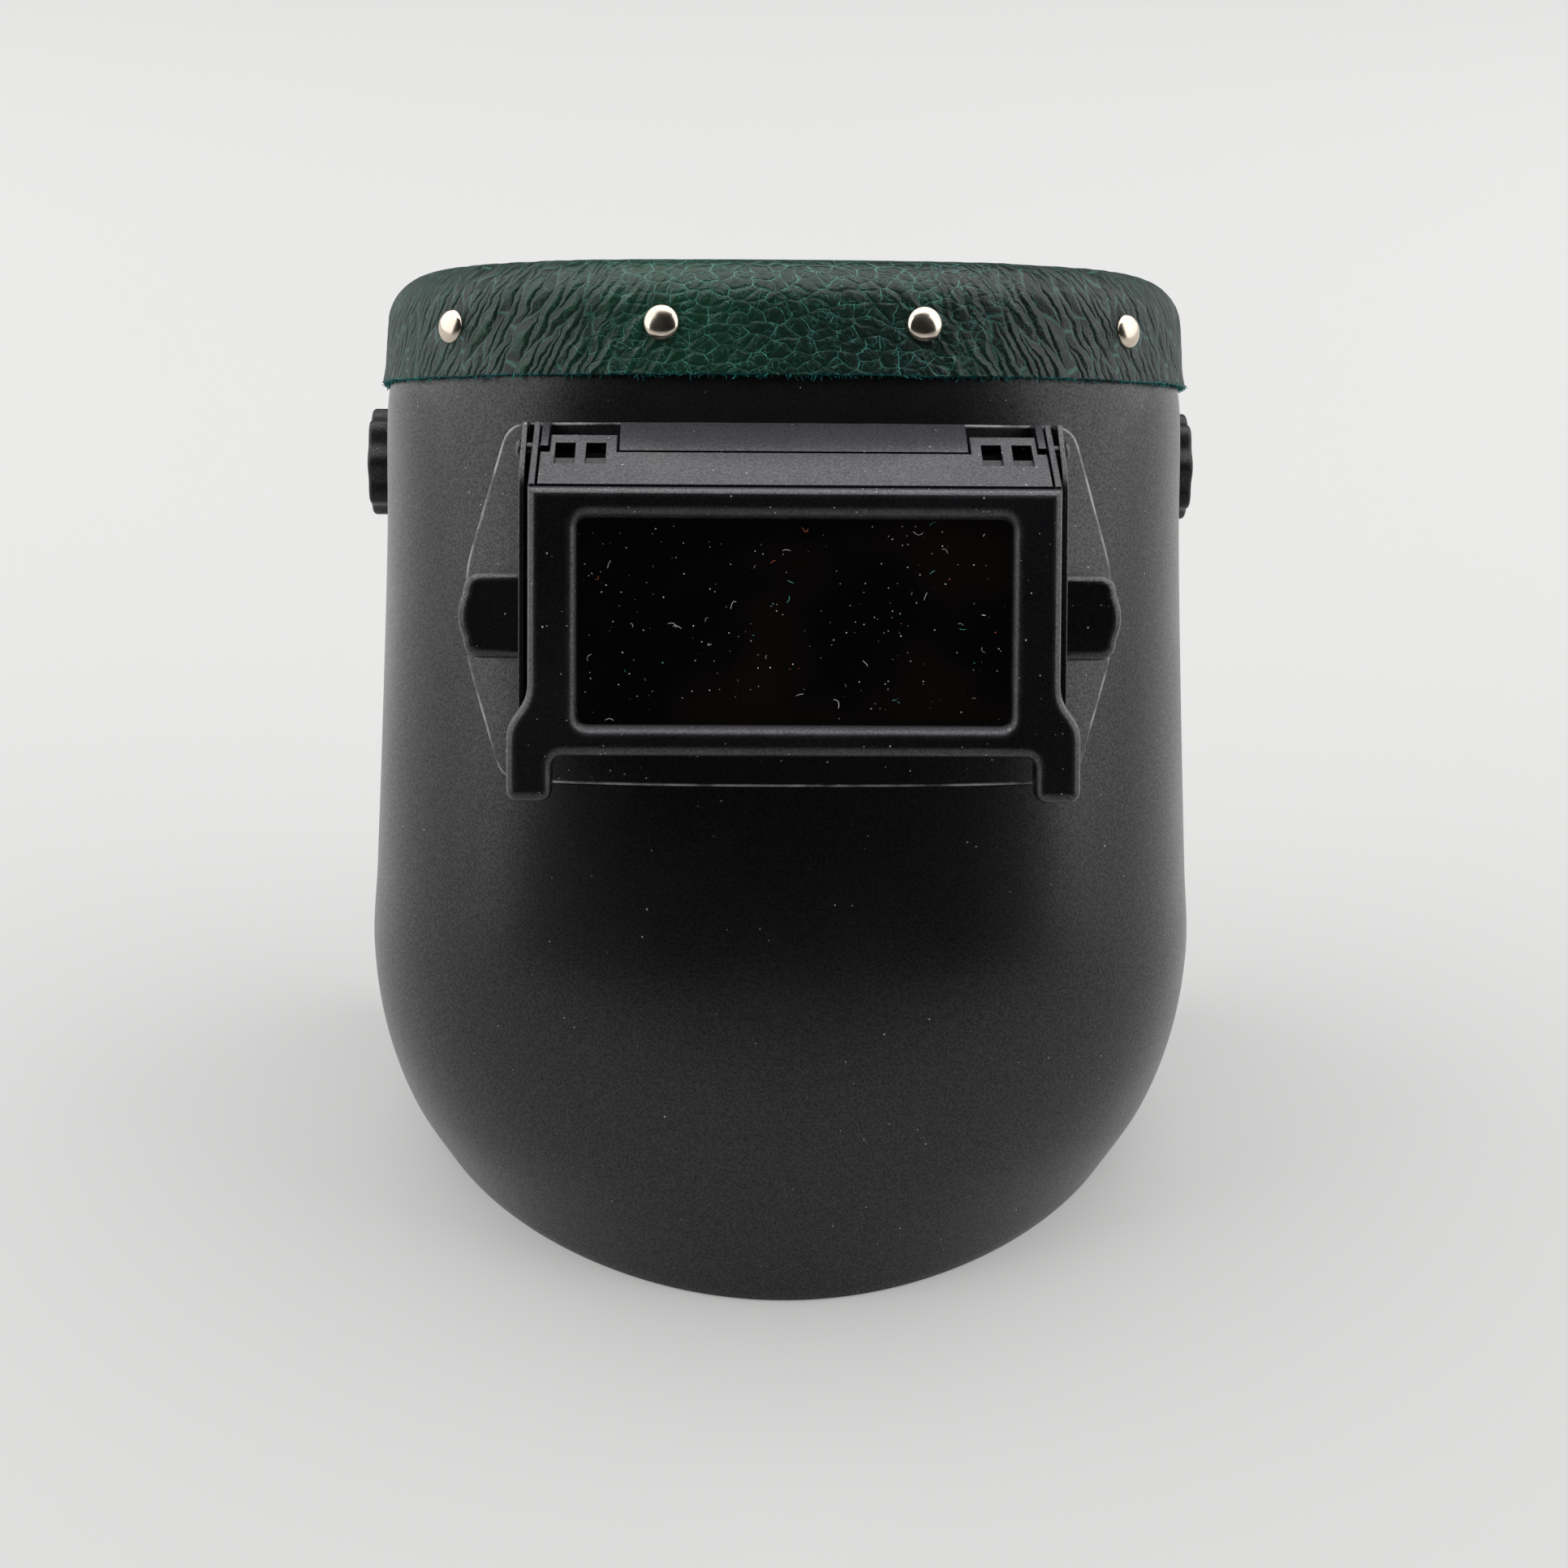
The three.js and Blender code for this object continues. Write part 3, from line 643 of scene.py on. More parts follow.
@dataclass
class SurfaceEffects:
    """The effects that finishes share, as shader groups."""

    grain: Tree = field(init=False)
    dust: Tree = field(init=False)
    wear_and_painted_light: Tree = field(init=False)

    def __post_init__(self) -> None:
        """Builds the groups."""
        self._grain()
        self._dust()
        self._wear()

    def _grain(self) -> None:
        """Builds a relief of fine noise over rounded cells."""
        inputs = {"Vector": VECTOR, "Grains per metre": FLOAT}
        sheet, start, end = new_tree("Fine grain", "ShaderNodeTree", inputs, {"Height": FLOAT})
        spread = sheet.vector("SCALE", start["Vector"], start["Grains per metre"])
        fine = sheet.noise(spread, 1.0, 3.0)
        cells = sheet.add("ShaderNodeTexVoronoi", {"Vector": spread, "Scale": 0.7}).outputs["Distance"]
        sheet.feed(end.inputs["Height"], sheet.weighted(cells, 0.45, fine))
        self.grain = sheet.tree

    def _dust(self) -> None:
        """Builds a mask of small scattered specks."""
        inputs = {"Vector": VECTOR, "Specks per metre": FLOAT, "Amount": FLOAT}
        sheet, start, end = new_tree("Settled dust", "ShaderNodeTree", inputs, {"Mask": FLOAT})
        spread = sheet.vector("SCALE", start["Vector"], start["Specks per metre"])
        cells = sheet.add("ShaderNodeTexVoronoi", {"Vector": spread, "Scale": 1.0})
        chance = sheet.add("ShaderNodeSeparateColor", {"Color": cells.outputs["Color"]})
        reach = sheet.weighted(chance.outputs[0], 0.16, 0.05)
        near = sheet.math("LESS_THAN", cells.outputs["Distance"], reach)
        kept = sheet.math("LESS_THAN", chance.outputs[1], start["Amount"])
        bright = sheet.weighted(chance.outputs[2], 0.7, 0.3)
        mask = sheet.times(sheet.times(near, kept), bright)
        sheet.feed(end.inputs["Mask"], mask)
        self.dust = sheet.tree

    def _wear(self) -> None:
        """Builds a mask that breaks up the edge value along edges: wear with painted highlight on plastic,
        the raw edge on leather.
        """
        inputs = {"Vector": VECTOR, "Edge": FLOAT, "Amount": FLOAT}
        sheet, start, end = new_tree("Edge wear", "ShaderNodeTree", inputs, {"Mask": FLOAT})
        patches = sheet.noise(start["Vector"], 140.0, 3.0)
        broken = sheet.ramp(patches, 0.32, 0.68)
        edge = sheet.times(start["Edge"], start["Amount"])
        sheet.feed(end.inputs["Mask"], sheet.times(edge, broken))
        self.wear_and_painted_light = sheet.tree


def scaled(tone: Colour, share: float) -> Colour:
    """Makes a colour lighter or darker."""
    return tuple(share * part for part in tone)


def new_material(name: str) -> tuple[Material, NodeSheet, Node]:
    """Makes an empty material.

    Args:
        name: The material's name.

    Returns:
        The material, its sheet and its Principled BSDF.
    """
    material = bpy.data.materials.new(name)
    material.use_nodes = True
    material.node_tree.nodes.clear()
    sheet = NodeSheet(material.node_tree)
    shader = sheet.add("ShaderNodeBsdfPrincipled")
    sheet.add("ShaderNodeOutputMaterial", {"Surface": shader.outputs[0]})
    return material, sheet, shader


@dataclass(frozen=True)
class MouldedPlastic:
    """Black moulded plastic with a fine matte grain, dust, and edges lightened partly by wear and partly by
    painted highlight.

    The depth of its relief is in millimetres. Faces that look up get a lighter film, partly settled dust
    and partly painted light from above.
    """

    name: str
    tone: Colour
    worn_and_highlight: Colour = (0.34, 0.34, 0.36)
    roughness: float = 0.5
    grains: float = 2100.0
    depth: float = 0.05
    dust: float = 0.03
    wear_and_painted_light: float = 1.0
    shine: float = 0.5
    dust_and_top_light: float = 0.3
    sparkle: float = 0.45
    specks: float = 900.0
    # The tone of the dust and painted top light on faces that look up.
    dust_and_top_light_tone: Colour = (0.13, 0.13, 0.15)
    dust_tone: Colour = (0.5, 0.5, 0.5)
    relief: float = 0.6

    def build(self, effects: SurfaceEffects) -> Material:
        """Makes the material.

        Args:
            effects: The shared effects.

        Returns:
            The material.
        """
        material, sheet, shader = new_material(self.name)
        coords = sheet.add("ShaderNodeTexCoord")
        place = coords.outputs["Object"]
        up = sheet.add("ShaderNodeSeparateXYZ", {0: coords.outputs["Normal"]}).outputs[2]
        grain = sheet.group(effects.grain, {"Vector": place, "Grains per metre": self.grains})
        settled = {"Vector": place, "Specks per metre": self.specks, "Amount": self.dust}
        dust = sheet.group(effects.dust, settled)
        edge = sheet.value("wear_and_painted_light")
        rubbed = {"Vector": place, "Edge": sheet.math("MAXIMUM", edge, 0.0), "Amount": self.wear_and_painted_light}
        wear_and_painted_light = sheet.group(effects.wear_and_painted_light, rubbed)
        cloud = sheet.noise(place, 22.0, 4.0)
        colour = sheet.mix(sheet.ramp(cloud, 0.3, 0.7), scaled(self.tone, 0.8), scaled(self.tone, 1.25))
        # Faces that look up are lightened: partly settled dust, partly painted top light.
        level = sheet.ramp(up, 0.6, 0.95, 0.0, self.dust_and_top_light)
        dust_and_top_light = sheet.times(level, sheet.ramp(grain, 0.3, 1.0, 0.45, 1.0))
        # Painted shade in recesses: less of the lighter film there.
        dust_and_top_light = sheet.times(dust_and_top_light, sheet.ramp(edge, Sketch.RECESS_SHADE, 0.0, 0.6, 1.0))
        colour = sheet.mix(dust_and_top_light, colour, self.dust_and_top_light_tone)
        # Edges lightened partly by wear, partly by painted highlight.
        colour = sheet.mix(wear_and_painted_light, colour, self.worn_and_highlight)
        colour = sheet.mix(dust, colour, self.dust_tone)
        glint = sheet.ramp(grain, 0.4, 1.0, 0.0, 3 * self.sparkle * self.shine)
        # Painted shade in recesses: less coat there.
        glint = sheet.times(glint, sheet.ramp(edge, Sketch.RECESS_SHADE, 0.0, 0.4, 1.0))
        span = sheet.ramp(cloud, 0.25, 0.75, self.roughness - 0.05, self.roughness + 0.05)
        inputs = {
            "Base Color": colour,
            "Specular IOR Level": self.shine * (1 - self.sparkle),
            "Coat Roughness": self.roughness,
            "Coat Weight": glint,
            "Roughness": sheet.weighted(grain, 0.04, span),
            "Normal": sheet.bump(grain, self.relief, self.depth),
        }
        sheet.fill(shader, inputs)
        return material


@dataclass(frozen=True)
class CrackedLeather:
    """Dark green leather: pale cracks in the middle, slanting creases towards the sides, darkened with
    painted shade.

    Sizes are in millimetres, the slant is from level in degrees, and the bend is the slant's change
    per metre. The middle is given in metres, and the relief by its strength and its depth.
    """

    name: str = "cracked_leather"
    # The painted shade in the creases.
    dark: Colour = (0.0014, 0.0032, 0.0029)
    ground: Colour = (0.0028, 0.0128, 0.0098)
    faded: Colour = (0.009, 0.0175, 0.0155)
    green: Colour = (0.0012, 0.042, 0.02)
    vein: Colour = (0.12, 0.42, 0.34)
    raw: Colour = (0.004, 0.15, 0.14)
    crack_size: float = 3.5
    crease_width: float = 3.5
    crease_length: float = 17.0
    crease_slant: float = 52.0
    crease_bend: float = 2.4
    crease_left: float = 0.2
    drift: float = 4.2
    middle: Pair = (0.05, 0.095)
    shine: float = 0.36
    pores: float = 1500.0
    relief: Pair = (0.9, 0.7)

    def build(self, effects: SurfaceEffects) -> Material:
        """Makes the material, from the cover's own map in metres.

        Args:
            effects: The shared effects.

        Returns:
            The material.
        """
        material, sheet, shader = new_material(self.name)
        flat = sheet.get("ShaderNodeUVMap", uv_map="span")
        wander = sheet.vector("SUBTRACT", sheet.noise(flat, 150.0, 5.0, "Color"), (0.5, 0.5, 0.5))
        warped = sheet.vector("ADD", flat, sheet.vector("SCALE", wander, self.drift * MM))
        parts = sheet.add("ShaderNodeSeparateXYZ", {0: warped})
        across = parts.outputs[0]
        out = sheet.math("ABSOLUTE", across)
        patch = sheet.noise(flat, 34.0, 3.0)
        near, far = self.middle
        middle = sheet.ramp(sheet.weighted(patch, 0.05, out), far, near)
        aside = sheet.math("SUBTRACT", 1.0, sheet.times(middle, 1 - self.crease_left))

        folds = self.cells(sheet, self.slanted(sheet, out, parts.outputs[1]), 1.0)
        pillow = sheet.ramp(folds, 0.0, 0.5)
        flatter = sheet.vector("MULTIPLY", warped, (0.7, 1.2, 1.0))
        cracks = self.cells(sheet, flatter, 1000 / self.crack_size)
        fine = self.cells(sheet, warped, 2300 / self.crack_size)
        broken = sheet.noise(flat, 330.0, 3.0)
        hairline = sheet.ramp(fine, 0.045, 0.0, 0.0, 0.6)
        hairline = sheet.times(hairline, sheet.ramp(broken, 0.45, 0.6))
        vein = sheet.math("MAXIMUM", sheet.ramp(cracks, 0.023, 0.0), hairline)
        for fade in (sheet.ramp(broken, 0.34, 0.62, 0.12, 1.0), sheet.ramp(middle, 0.0, 1.0, 0.28, 1.0)):
            vein = sheet.times(vein, fade)
        creased = sheet.times(sheet.ramp(folds, 0.06, 0.0, 0.0, 0.24), aside)
        vein = sheet.math("MAXIMUM", vein, creased)

        colour = sheet.mix(sheet.ramp(out, 0.065, 0.14), self.ground, self.faded)
        mottled = sheet.ramp(patch, 0.3, 0.6, 0.4, 0.9)
        dyed = sheet.times(sheet.ramp(across, 0.04, -0.05), mottled)
        dyed = sheet.math("MAXIMUM", dyed, sheet.ramp(patch, 0.52, 0.7))
        colour = sheet.mix(dyed, colour, self.green)
        # Painted shade darkens the creases.
        crease_shade = sheet.times(sheet.math("SUBTRACT", 1.0, pillow), aside)
        colour = sheet.mix(crease_shade, colour, self.dark)
        colour = sheet.mix(vein, colour, self.vein)
        place = sheet.place()
        cut_edge = {"Vector": place, "Edge": sheet.value("wear_and_painted_light"), "Amount": 1.5}
        colour = sheet.mix(sheet.group(effects.wear_and_painted_light, cut_edge), colour, self.raw)
        sheet.fill(shader, {"Base Color": colour, "Specular IOR Level": self.shine})

        pores = sheet.group(effects.grain, {"Vector": place, "Grains per metre": self.pores})
        rough = sheet.weighted(patch, 0.16, sheet.ramp(out, 0.03, 0.12, 0.22, 0.36))
        rough = sheet.weighted(pores, 0.1, rough)
        height = sheet.times(pillow, aside)
        height = sheet.weighted(pores, 0.12, height)
        flakes = sheet.times(middle, 0.2)
        height = sheet.weighted(sheet.ramp(cracks, 0.0, 0.26), flakes, height)
        sheet.fill(shader, {"Roughness": rough, "Normal": sheet.bump(height, *self.relief)})
        return material

    def slanted(self, sheet: NodeSheet, out: Any, up: Any) -> Socket:
        """Lays the pattern of the creases, slanting down and out on both sides.

        Args:
            sheet: The material's sheet.
            out: The distance from the middle.
            up: The distance from the lower edge.

        Returns:
            The place along and across the creases, in creases.
        """
        both = sheet.xyz(out, up)
        slant = math.radians(self.crease_slant)
        along = sheet.vector("DOT_PRODUCT", both, (-math.cos(slant), math.sin(slant), 0))
        over = sheet.vector("DOT_PRODUCT", both, (math.sin(slant), math.cos(slant), 0))
        over = sheet.weighted(sheet.times(out, out), self.crease_bend, over)
        along = sheet.math("DIVIDE", along, self.crease_length * MM)
        over = sheet.math("DIVIDE", over, self.crease_width * MM)
        return sheet.xyz(along, over)

    @staticmethod
    def cells(sheet: NodeSheet, vector: Any, scale: float) -> Socket:
        """Adds a field of cells and gives the distance to their edges."""
        kind = {"voronoi_dimensions": "2D", "feature": "DISTANCE_TO_EDGE"}
        return sheet.get("ShaderNodeTexVoronoi", {"Vector": vector, "Scale": scale}, **kind)


@dataclass(frozen=True)
class PlainMetal:
    """A metal with faint smears and fine scratches, with the strength and depth of its relief."""

    name: str
    tone: Colour
    roughness: float
    grains: float = 900.0
    relief: Pair = (0.12, 0.02)

    def build(self, effects: SurfaceEffects) -> Material:
        """Makes the material.

        Args:
            effects: The shared effects.

        Returns:
            The material.
        """
        material, sheet, shader = new_material(self.name)
        place = sheet.place()
        blotches = sheet.noise(place, 260.0, 4.0)
        colour = sheet.mix(sheet.ramp(blotches, 0.35, 0.7), self.tone, scaled(self.tone, 0.8))
        rough = sheet.ramp(blotches, 0.3, 0.7, self.roughness * 0.7, self.roughness * 1.4)
        grain = sheet.group(effects.grain, {"Vector": place, "Grains per metre": self.grains})
        relief = sheet.bump(grain, *self.relief)
        sheet.fill(shader, {"Base Color": colour, "Metallic": 1.0, "Roughness": rough, "Normal": relief})
        return material


@dataclass(frozen=True)
class PlateGlass:
    """A polished plate, dark or clear, with wiped smears, and broad blotches in its colour: a painted
    brownish reflection on the dark plate.
    """

    name: str
    tone: Colour
    blotches: Colour
    clear: float
    specks: float = 1100.0
    dust: float = 0.05
    dust_tone: Colour = (0.55, 0.55, 0.55)
    bending: float = 1.5

    def build(self, effects: SurfaceEffects) -> Material:
        """Makes the material.

        Args:
            effects: The shared effects.

        Returns:
            The material.
        """
        material, sheet, shader = new_material(self.name)
        place = sheet.place()
        wiped = sheet.noise(place, 60.0, 5.0)
        settled = {"Vector": place, "Specks per metre": self.specks, "Amount": self.dust}
        dust = sheet.group(effects.dust, settled)
        # Broad blotches in the colour; on the dark plate a painted brownish reflection.
        broad = sheet.noise(place, 26.0, 2.0)
        colour = sheet.mix(sheet.ramp(broad, 0.46, 0.66), self.tone, self.blotches)
        inputs = {
            "Base Color": sheet.mix(dust, colour, self.dust_tone),
            "Roughness": sheet.ramp(wiped, 0.45, 0.8, 0.03, 0.12),
            "Transmission Weight": self.clear,
            "IOR": self.bending,
        }
        sheet.fill(shader, inputs)
        return material


@dataclass(frozen=True)
class Lint:
    """Fibres and specks of lint, most of one colour, with shares of a rare and an odd one."""

    name: str
    common: Colour
    rare: Colour
    odd: Colour
    shares: Pair = (0.86, 0.95)

    def build(self) -> Material:
        """Makes the material, from each fibre's own tint value.

        Returns:
            The material.
        """
        material, sheet, shader = new_material(self.name)
        tint = sheet.value("tint")
        colour = self.common
        for share, other in zip(self.shares, (self.rare, self.odd)):
            colour = sheet.mix(sheet.math("GREATER_THAN", tint, share), colour, other)
        sheet.fill(shader, {"Base Color": colour, "Roughness": sheet.ramp(tint, 0.0, 1.0, 0.7, 0.95)})
        return material


@dataclass
class Finishes:
    """Every material of the hood."""

    effects: SurfaceEffects = field(default_factory=SurfaceEffects)
    made: dict[str, Material] = field(default_factory=dict)

    def __post_init__(self) -> None:
        """Builds the materials."""
        finishes = {
            "shell": MouldedPlastic(
                "shell_black", (0.0022, 0.0022, 0.003), roughness=0.31, dust=0.025, depth=0.06, wear_and_painted_light=0.04
            ),
            "holder": MouldedPlastic(
                "holder_black", (0.0018, 0.0018, 0.0028), roughness=0.29, dust=0.1, shine=0.6, dust_and_top_light=0.36
            ),
            "knob": MouldedPlastic(
                "knob_black", (0.003, 0.003, 0.0034), roughness=0.45, shine=0.4, dust_and_top_light=0.08
            ),
            "leather": CrackedLeather(),
            "nickel": PlainMetal("rivet_nickel", (0.7, 0.61, 0.51), 0.18),
            "steel": PlainMetal("stud_steel", (0.5, 0.5, 0.52), 0.32),
            # The filter's brownish blotches are a painted reflection.
            "dark": PlateGlass("filter_glass", (0.0008, 0.0007, 0.0011), (0.0048, 0.0027, 0.0022), 0.0),
            "clear": PlateGlass("cover_plate", (0.86, 0.9, 0.88), (0.9, 0.92, 0.9), 1.0),
        }
        for key, finish in finishes.items():
            self.made[key] = finish.build(self.effects)
        lint = Lint("lint", (0.86, 0.84, 0.8), (0.16, 0.66, 0.62), (0.8, 0.2, 0.08))
        fibre = Lint("raw_fibre", (0.004, 0.14, 0.14), (0.02, 0.3, 0.26), (0.02, 0.06, 0.05))
        self.made |= {"lint": lint.build(), "fibre": fibre.build()}

    def __getitem__(self, key: str) -> Material:
        """Gives a finish by its name."""
        return self.made[key]


# The shell's form, which the leather and the fixed holder follow.


@dataclass(frozen=True)
class Section:
    """A horizontal section of the shell: a U whose rounded front has a depth and a squareness."""

    z: float
    half: float
    front: float
    depth: float
    power: float


@dataclass(frozen=True)
class EdgePoint:
    """A point of the rear edge seen from the side."""

    z: float
    y: float


@dataclass(frozen=True)
class ShellForm:
    """The shell's surface: sections from brow to chin, a rounded roof edge and a low crown."""

    sections: tuple[Section, ...] = (
        Section(-212, 71, 61.5, 80, 2),
        Section(-185, 88.2, 48.2, 88, 2.1),
        Section(-166, 100, 41, 93, 2.25),
        Section(-145, 107.1, 35.4, 96, 2.4),
        Section(-122, 110, 31.8, 98, 2.55),
        Section(-100, 108.9, 30.4, 98, 2.6),
        Section(-55, 107.3, 30, 98, 2.6),
        Section(-12, 106.1, 30.1, 97, 2.6),
        Section(20, 106, 30.9, 96, 2.6),
        Section(33, 104.5, 31.7, 95, 2.6),
        Section(60, 102.9, 33.6, 93, 2.6),
    )
    rear_edge: tuple[EdgePoint, ...] = (
        EdgePoint(-160, 158),
        EdgePoint(-150, 175),
        EdgePoint(-130, 184),
        EdgePoint(-85, 187),
        EdgePoint(-30, 186),
        EdgePoint(8, 174),
        EdgePoint(32, 146),
        EdgePoint(50, 122),
        EdgePoint(62, 116),
    )
    roof_z: float = 54.0
    fillet: float = 10.5
    crown: float = 3.0
    crown_reach: float = 70.0
    chin_y: float = 58.2
    chin_z: float = -205.4
    rim_top: float = -145.0
    rim_halvings: int = 36
    plan_steps: int = 110
    overrun: float = 0.01

    @staticmethod
    def between(rows: Sequence[Any], column: str, z: Array) -> Array:
        """Gives smooth values between the rows of a table.

        Args:
            rows: The table, from low to high z.
            column: The column's name.
            z: The heights.

        Returns:
            The column's value at each height.
        """
        heights = np.array([row.z for row in rows])
        values = np.array([getattr(row, column) for row in rows])
        before = np.maximum(np.arange(len(rows)) - 1, 0)
        after = np.minimum(np.arange(len(rows)) + 1, len(rows) - 1)
        slopes = (values[after] - values[before]) / (heights[after] - heights[before])
        at = np.clip(z, heights[0], heights[-1])
        i = np.clip(np.searchsorted(heights, at, side="right") - 1, 0, len(rows) - 2)
        span = heights[i + 1] - heights[i]
        t = (at - heights[i]) / span
        return (
            values[i]
            + (values[i + 1] - values[i]) * t * t * (3 - 2 * t)
            + span * slopes[i] * t * (1 - t) ** 2
            - span * slopes[i + 1] * t * t * (1 - t)
        )

    def section(self, z: Array) -> tuple[Array, ...]:
        """Gives half, front, depth and power at each height."""
        names = ("half", "front", "depth", "power")
        return tuple(self.between(self.sections, name, z) for name in names)

    def section_at(self, z: float) -> tuple[float, ...]:
        """Gives half, front, depth and power at one height."""
        return tuple(float(value) for value in self.section(np.float64(z)))

    def front_y(self, x: float, z: float, offset: float = 0.0) -> float:
        """Gives the y of the shell's front.

        Args:
            x: The distance from the middle.
            z: The height.
            offset: How far the surface is moved out.

        Returns:
            The y at that place.
        """
        half, front, depth, power = self.section_at(z)
        sine = min(abs(x) / (half + offset), 1.0) ** (power / 2)
        cosine = math.sqrt(max(1 - sine * sine, 0.0))
        return front - offset + (depth + offset) * (1 - cosine ** (2 / power))

    def trace(self, share: Array, section_z: Array, inset: Array, z: Array, setback: float) -> Array:
        """Gives points of the surface by their share of the way from the front to the rear edge.

        Args:
            share: From -1 at the left rear edge to 1 at the right.
            section_z: The height whose section is used.
            inset: How far the section is set in.
            z: The point's own height.
            setback: How far the rear edge is set back.

        Returns:
            The points, one row each.
        """
        half, front, depth, power = (value[:, None] for value in self.section(section_z))
        inset = inset[:, None]
        angle = np.linspace(0, math.pi / 2, self.plan_steps)[None, :]
        x = (half - inset) * np.sin(angle) ** (2 / power)
        cosine = np.clip(np.cos(angle), 0, 1) ** (2 / power)
        y = front + inset + (depth - inset) * (1 - cosine)
        rear = self.between(self.rear_edge, "y", z)[:, None] - setback
        x = np.concatenate([x, x[:, -1:]], axis=1)
        y = np.concatenate([y, np.maximum(y[:, -1:], rear) + self.overrun], axis=1)
        run = running(np.hypot(np.diff(x, axis=1), np.diff(y, axis=1)), 1)
        along = np.abs(share) * self.lookup(y, run, rear[:, 0])
        across = np.sign(share) * self.lookup(run, x, along)
        return np.stack([across, self.lookup(run, y, along), z], axis=1)

    @staticmethod
    def lookup(keys: Array, values: Array, wanted: Array) -> Array:
        """Looks up values between the keys of each row.

        Args:
            keys: Rising keys by row.
            values: The value at each key.
            wanted: The key that is looked up in each row.

        Returns:
            One value for each row.
        """
        i = np.clip((keys <= wanted[:, None]).sum(axis=1) - 1, 0, keys.shape[1] - 2)
        row = np.arange(len(keys))
        span = np.maximum(keys[row, i + 1] - keys[row, i], TINY)
        t = np.clip((wanted - keys[row, i]) / span, 0, 1)
        return values[row, i] + t * (values[row, i + 1] - values[row, i])

    def rim_height(self, y: Array, raised: float) -> Array:
        """Gives the rim plane's z at y, raised along the plane's normal."""
        lean = math.radians(UPRIGHT.lean)
        return self.chin_z + (y - self.chin_y) * math.tan(lean) + raised / math.cos(lean)

    def rim(self, share: Array, inset: float, raised: float, setback: float) -> Array:
        """Finds where each column of the surface meets the rim plane.

        Args:
            share: The columns, as in trace.
            inset: How far the surface is set in.
            raised: How far the plane is raised.
            setback: How far the rear edge is set back.

        Returns:
            The height of each column's lower end.
        """
        low = np.full(len(share), self.sections[0].z)
        high = np.full(len(share), self.rim_top)
        insets = np.full(len(share), inset)
        for _ in range(self.rim_halvings):
            middle = (low + high) / 2
            y = self.trace(share, middle, insets, middle, setback)[:, 1]
            above = middle > self.rim_height(y, raised)
            high = np.where(above, middle, high)
            low = np.where(above, low, middle)
        return (low + high) / 2

    def grid(
        self, share: Array, low: Array, rows: tuple[int, int, int], offset: float, setback: float
    ) -> Array:
        """Gives the surface moved out by an offset, as rows from a lower edge to the roof's rear.

        Args:
            share: The columns, from the left rear edge to the right.
            low: The height of each column's lower end.
            rows: How many rows the wall, the roof's edge and the crown take.
            offset: How far to move the surface out.
            setback: How far the rear edge is set back.

        Returns:
            The points by row and column.
        """
        top = self.roof_z - self.fillet
        radius = self.fillet + offset
        flat = np.ones_like(share)
        made = []
        for t in np.linspace(0, 1, rows[0] + 1):
            z = low + (top - low) * t
            made.append(self.trace(share, z, -offset * flat, z, setback))
        for sine, cosine in quarter_turn(rows[1])[1:]:
            section = (top + self.fillet * sine) * flat
            inset = (radius * (1 - cosine) - offset) * flat
            made.append(self.trace(share, section, inset, (top + radius * sine) * flat, setback))
        front = self.section_at(self.roof_z)[1]
        peak = np.float64(self.roof_z + self.crown + offset)
        rear = float(self.between(self.rear_edge, "y", peak)) - setback
        last = (rear - front - self.fillet) / self.crown_reach
        for t in np.linspace(0, last, rows[2] + 1)[1:]:
            eased = min(t, 1.0)
            z = self.roof_z + offset + self.crown * eased * (2 - eased)
            inset = self.fillet + self.crown_reach * t
            made.append(self.trace(share, self.roof_z * flat, inset * flat, z * flat, setback))
        return np.stack(made)


def grid_normals(grid: Array) -> Array:
    """Gives the outward unit normals of a surface.

    Args:
        grid: The points by row and column.

    Returns:
        The normals, straight up where the rows meet.
    """
    normal = np.cross(np.gradient(grid, axis=1), np.gradient(grid, axis=0))
    length = np.linalg.norm(normal, axis=2, keepdims=True)
    return np.where(length > NO_LENGTH, normal / np.maximum(length, TINY), (0.0, 0.0, 1.0))


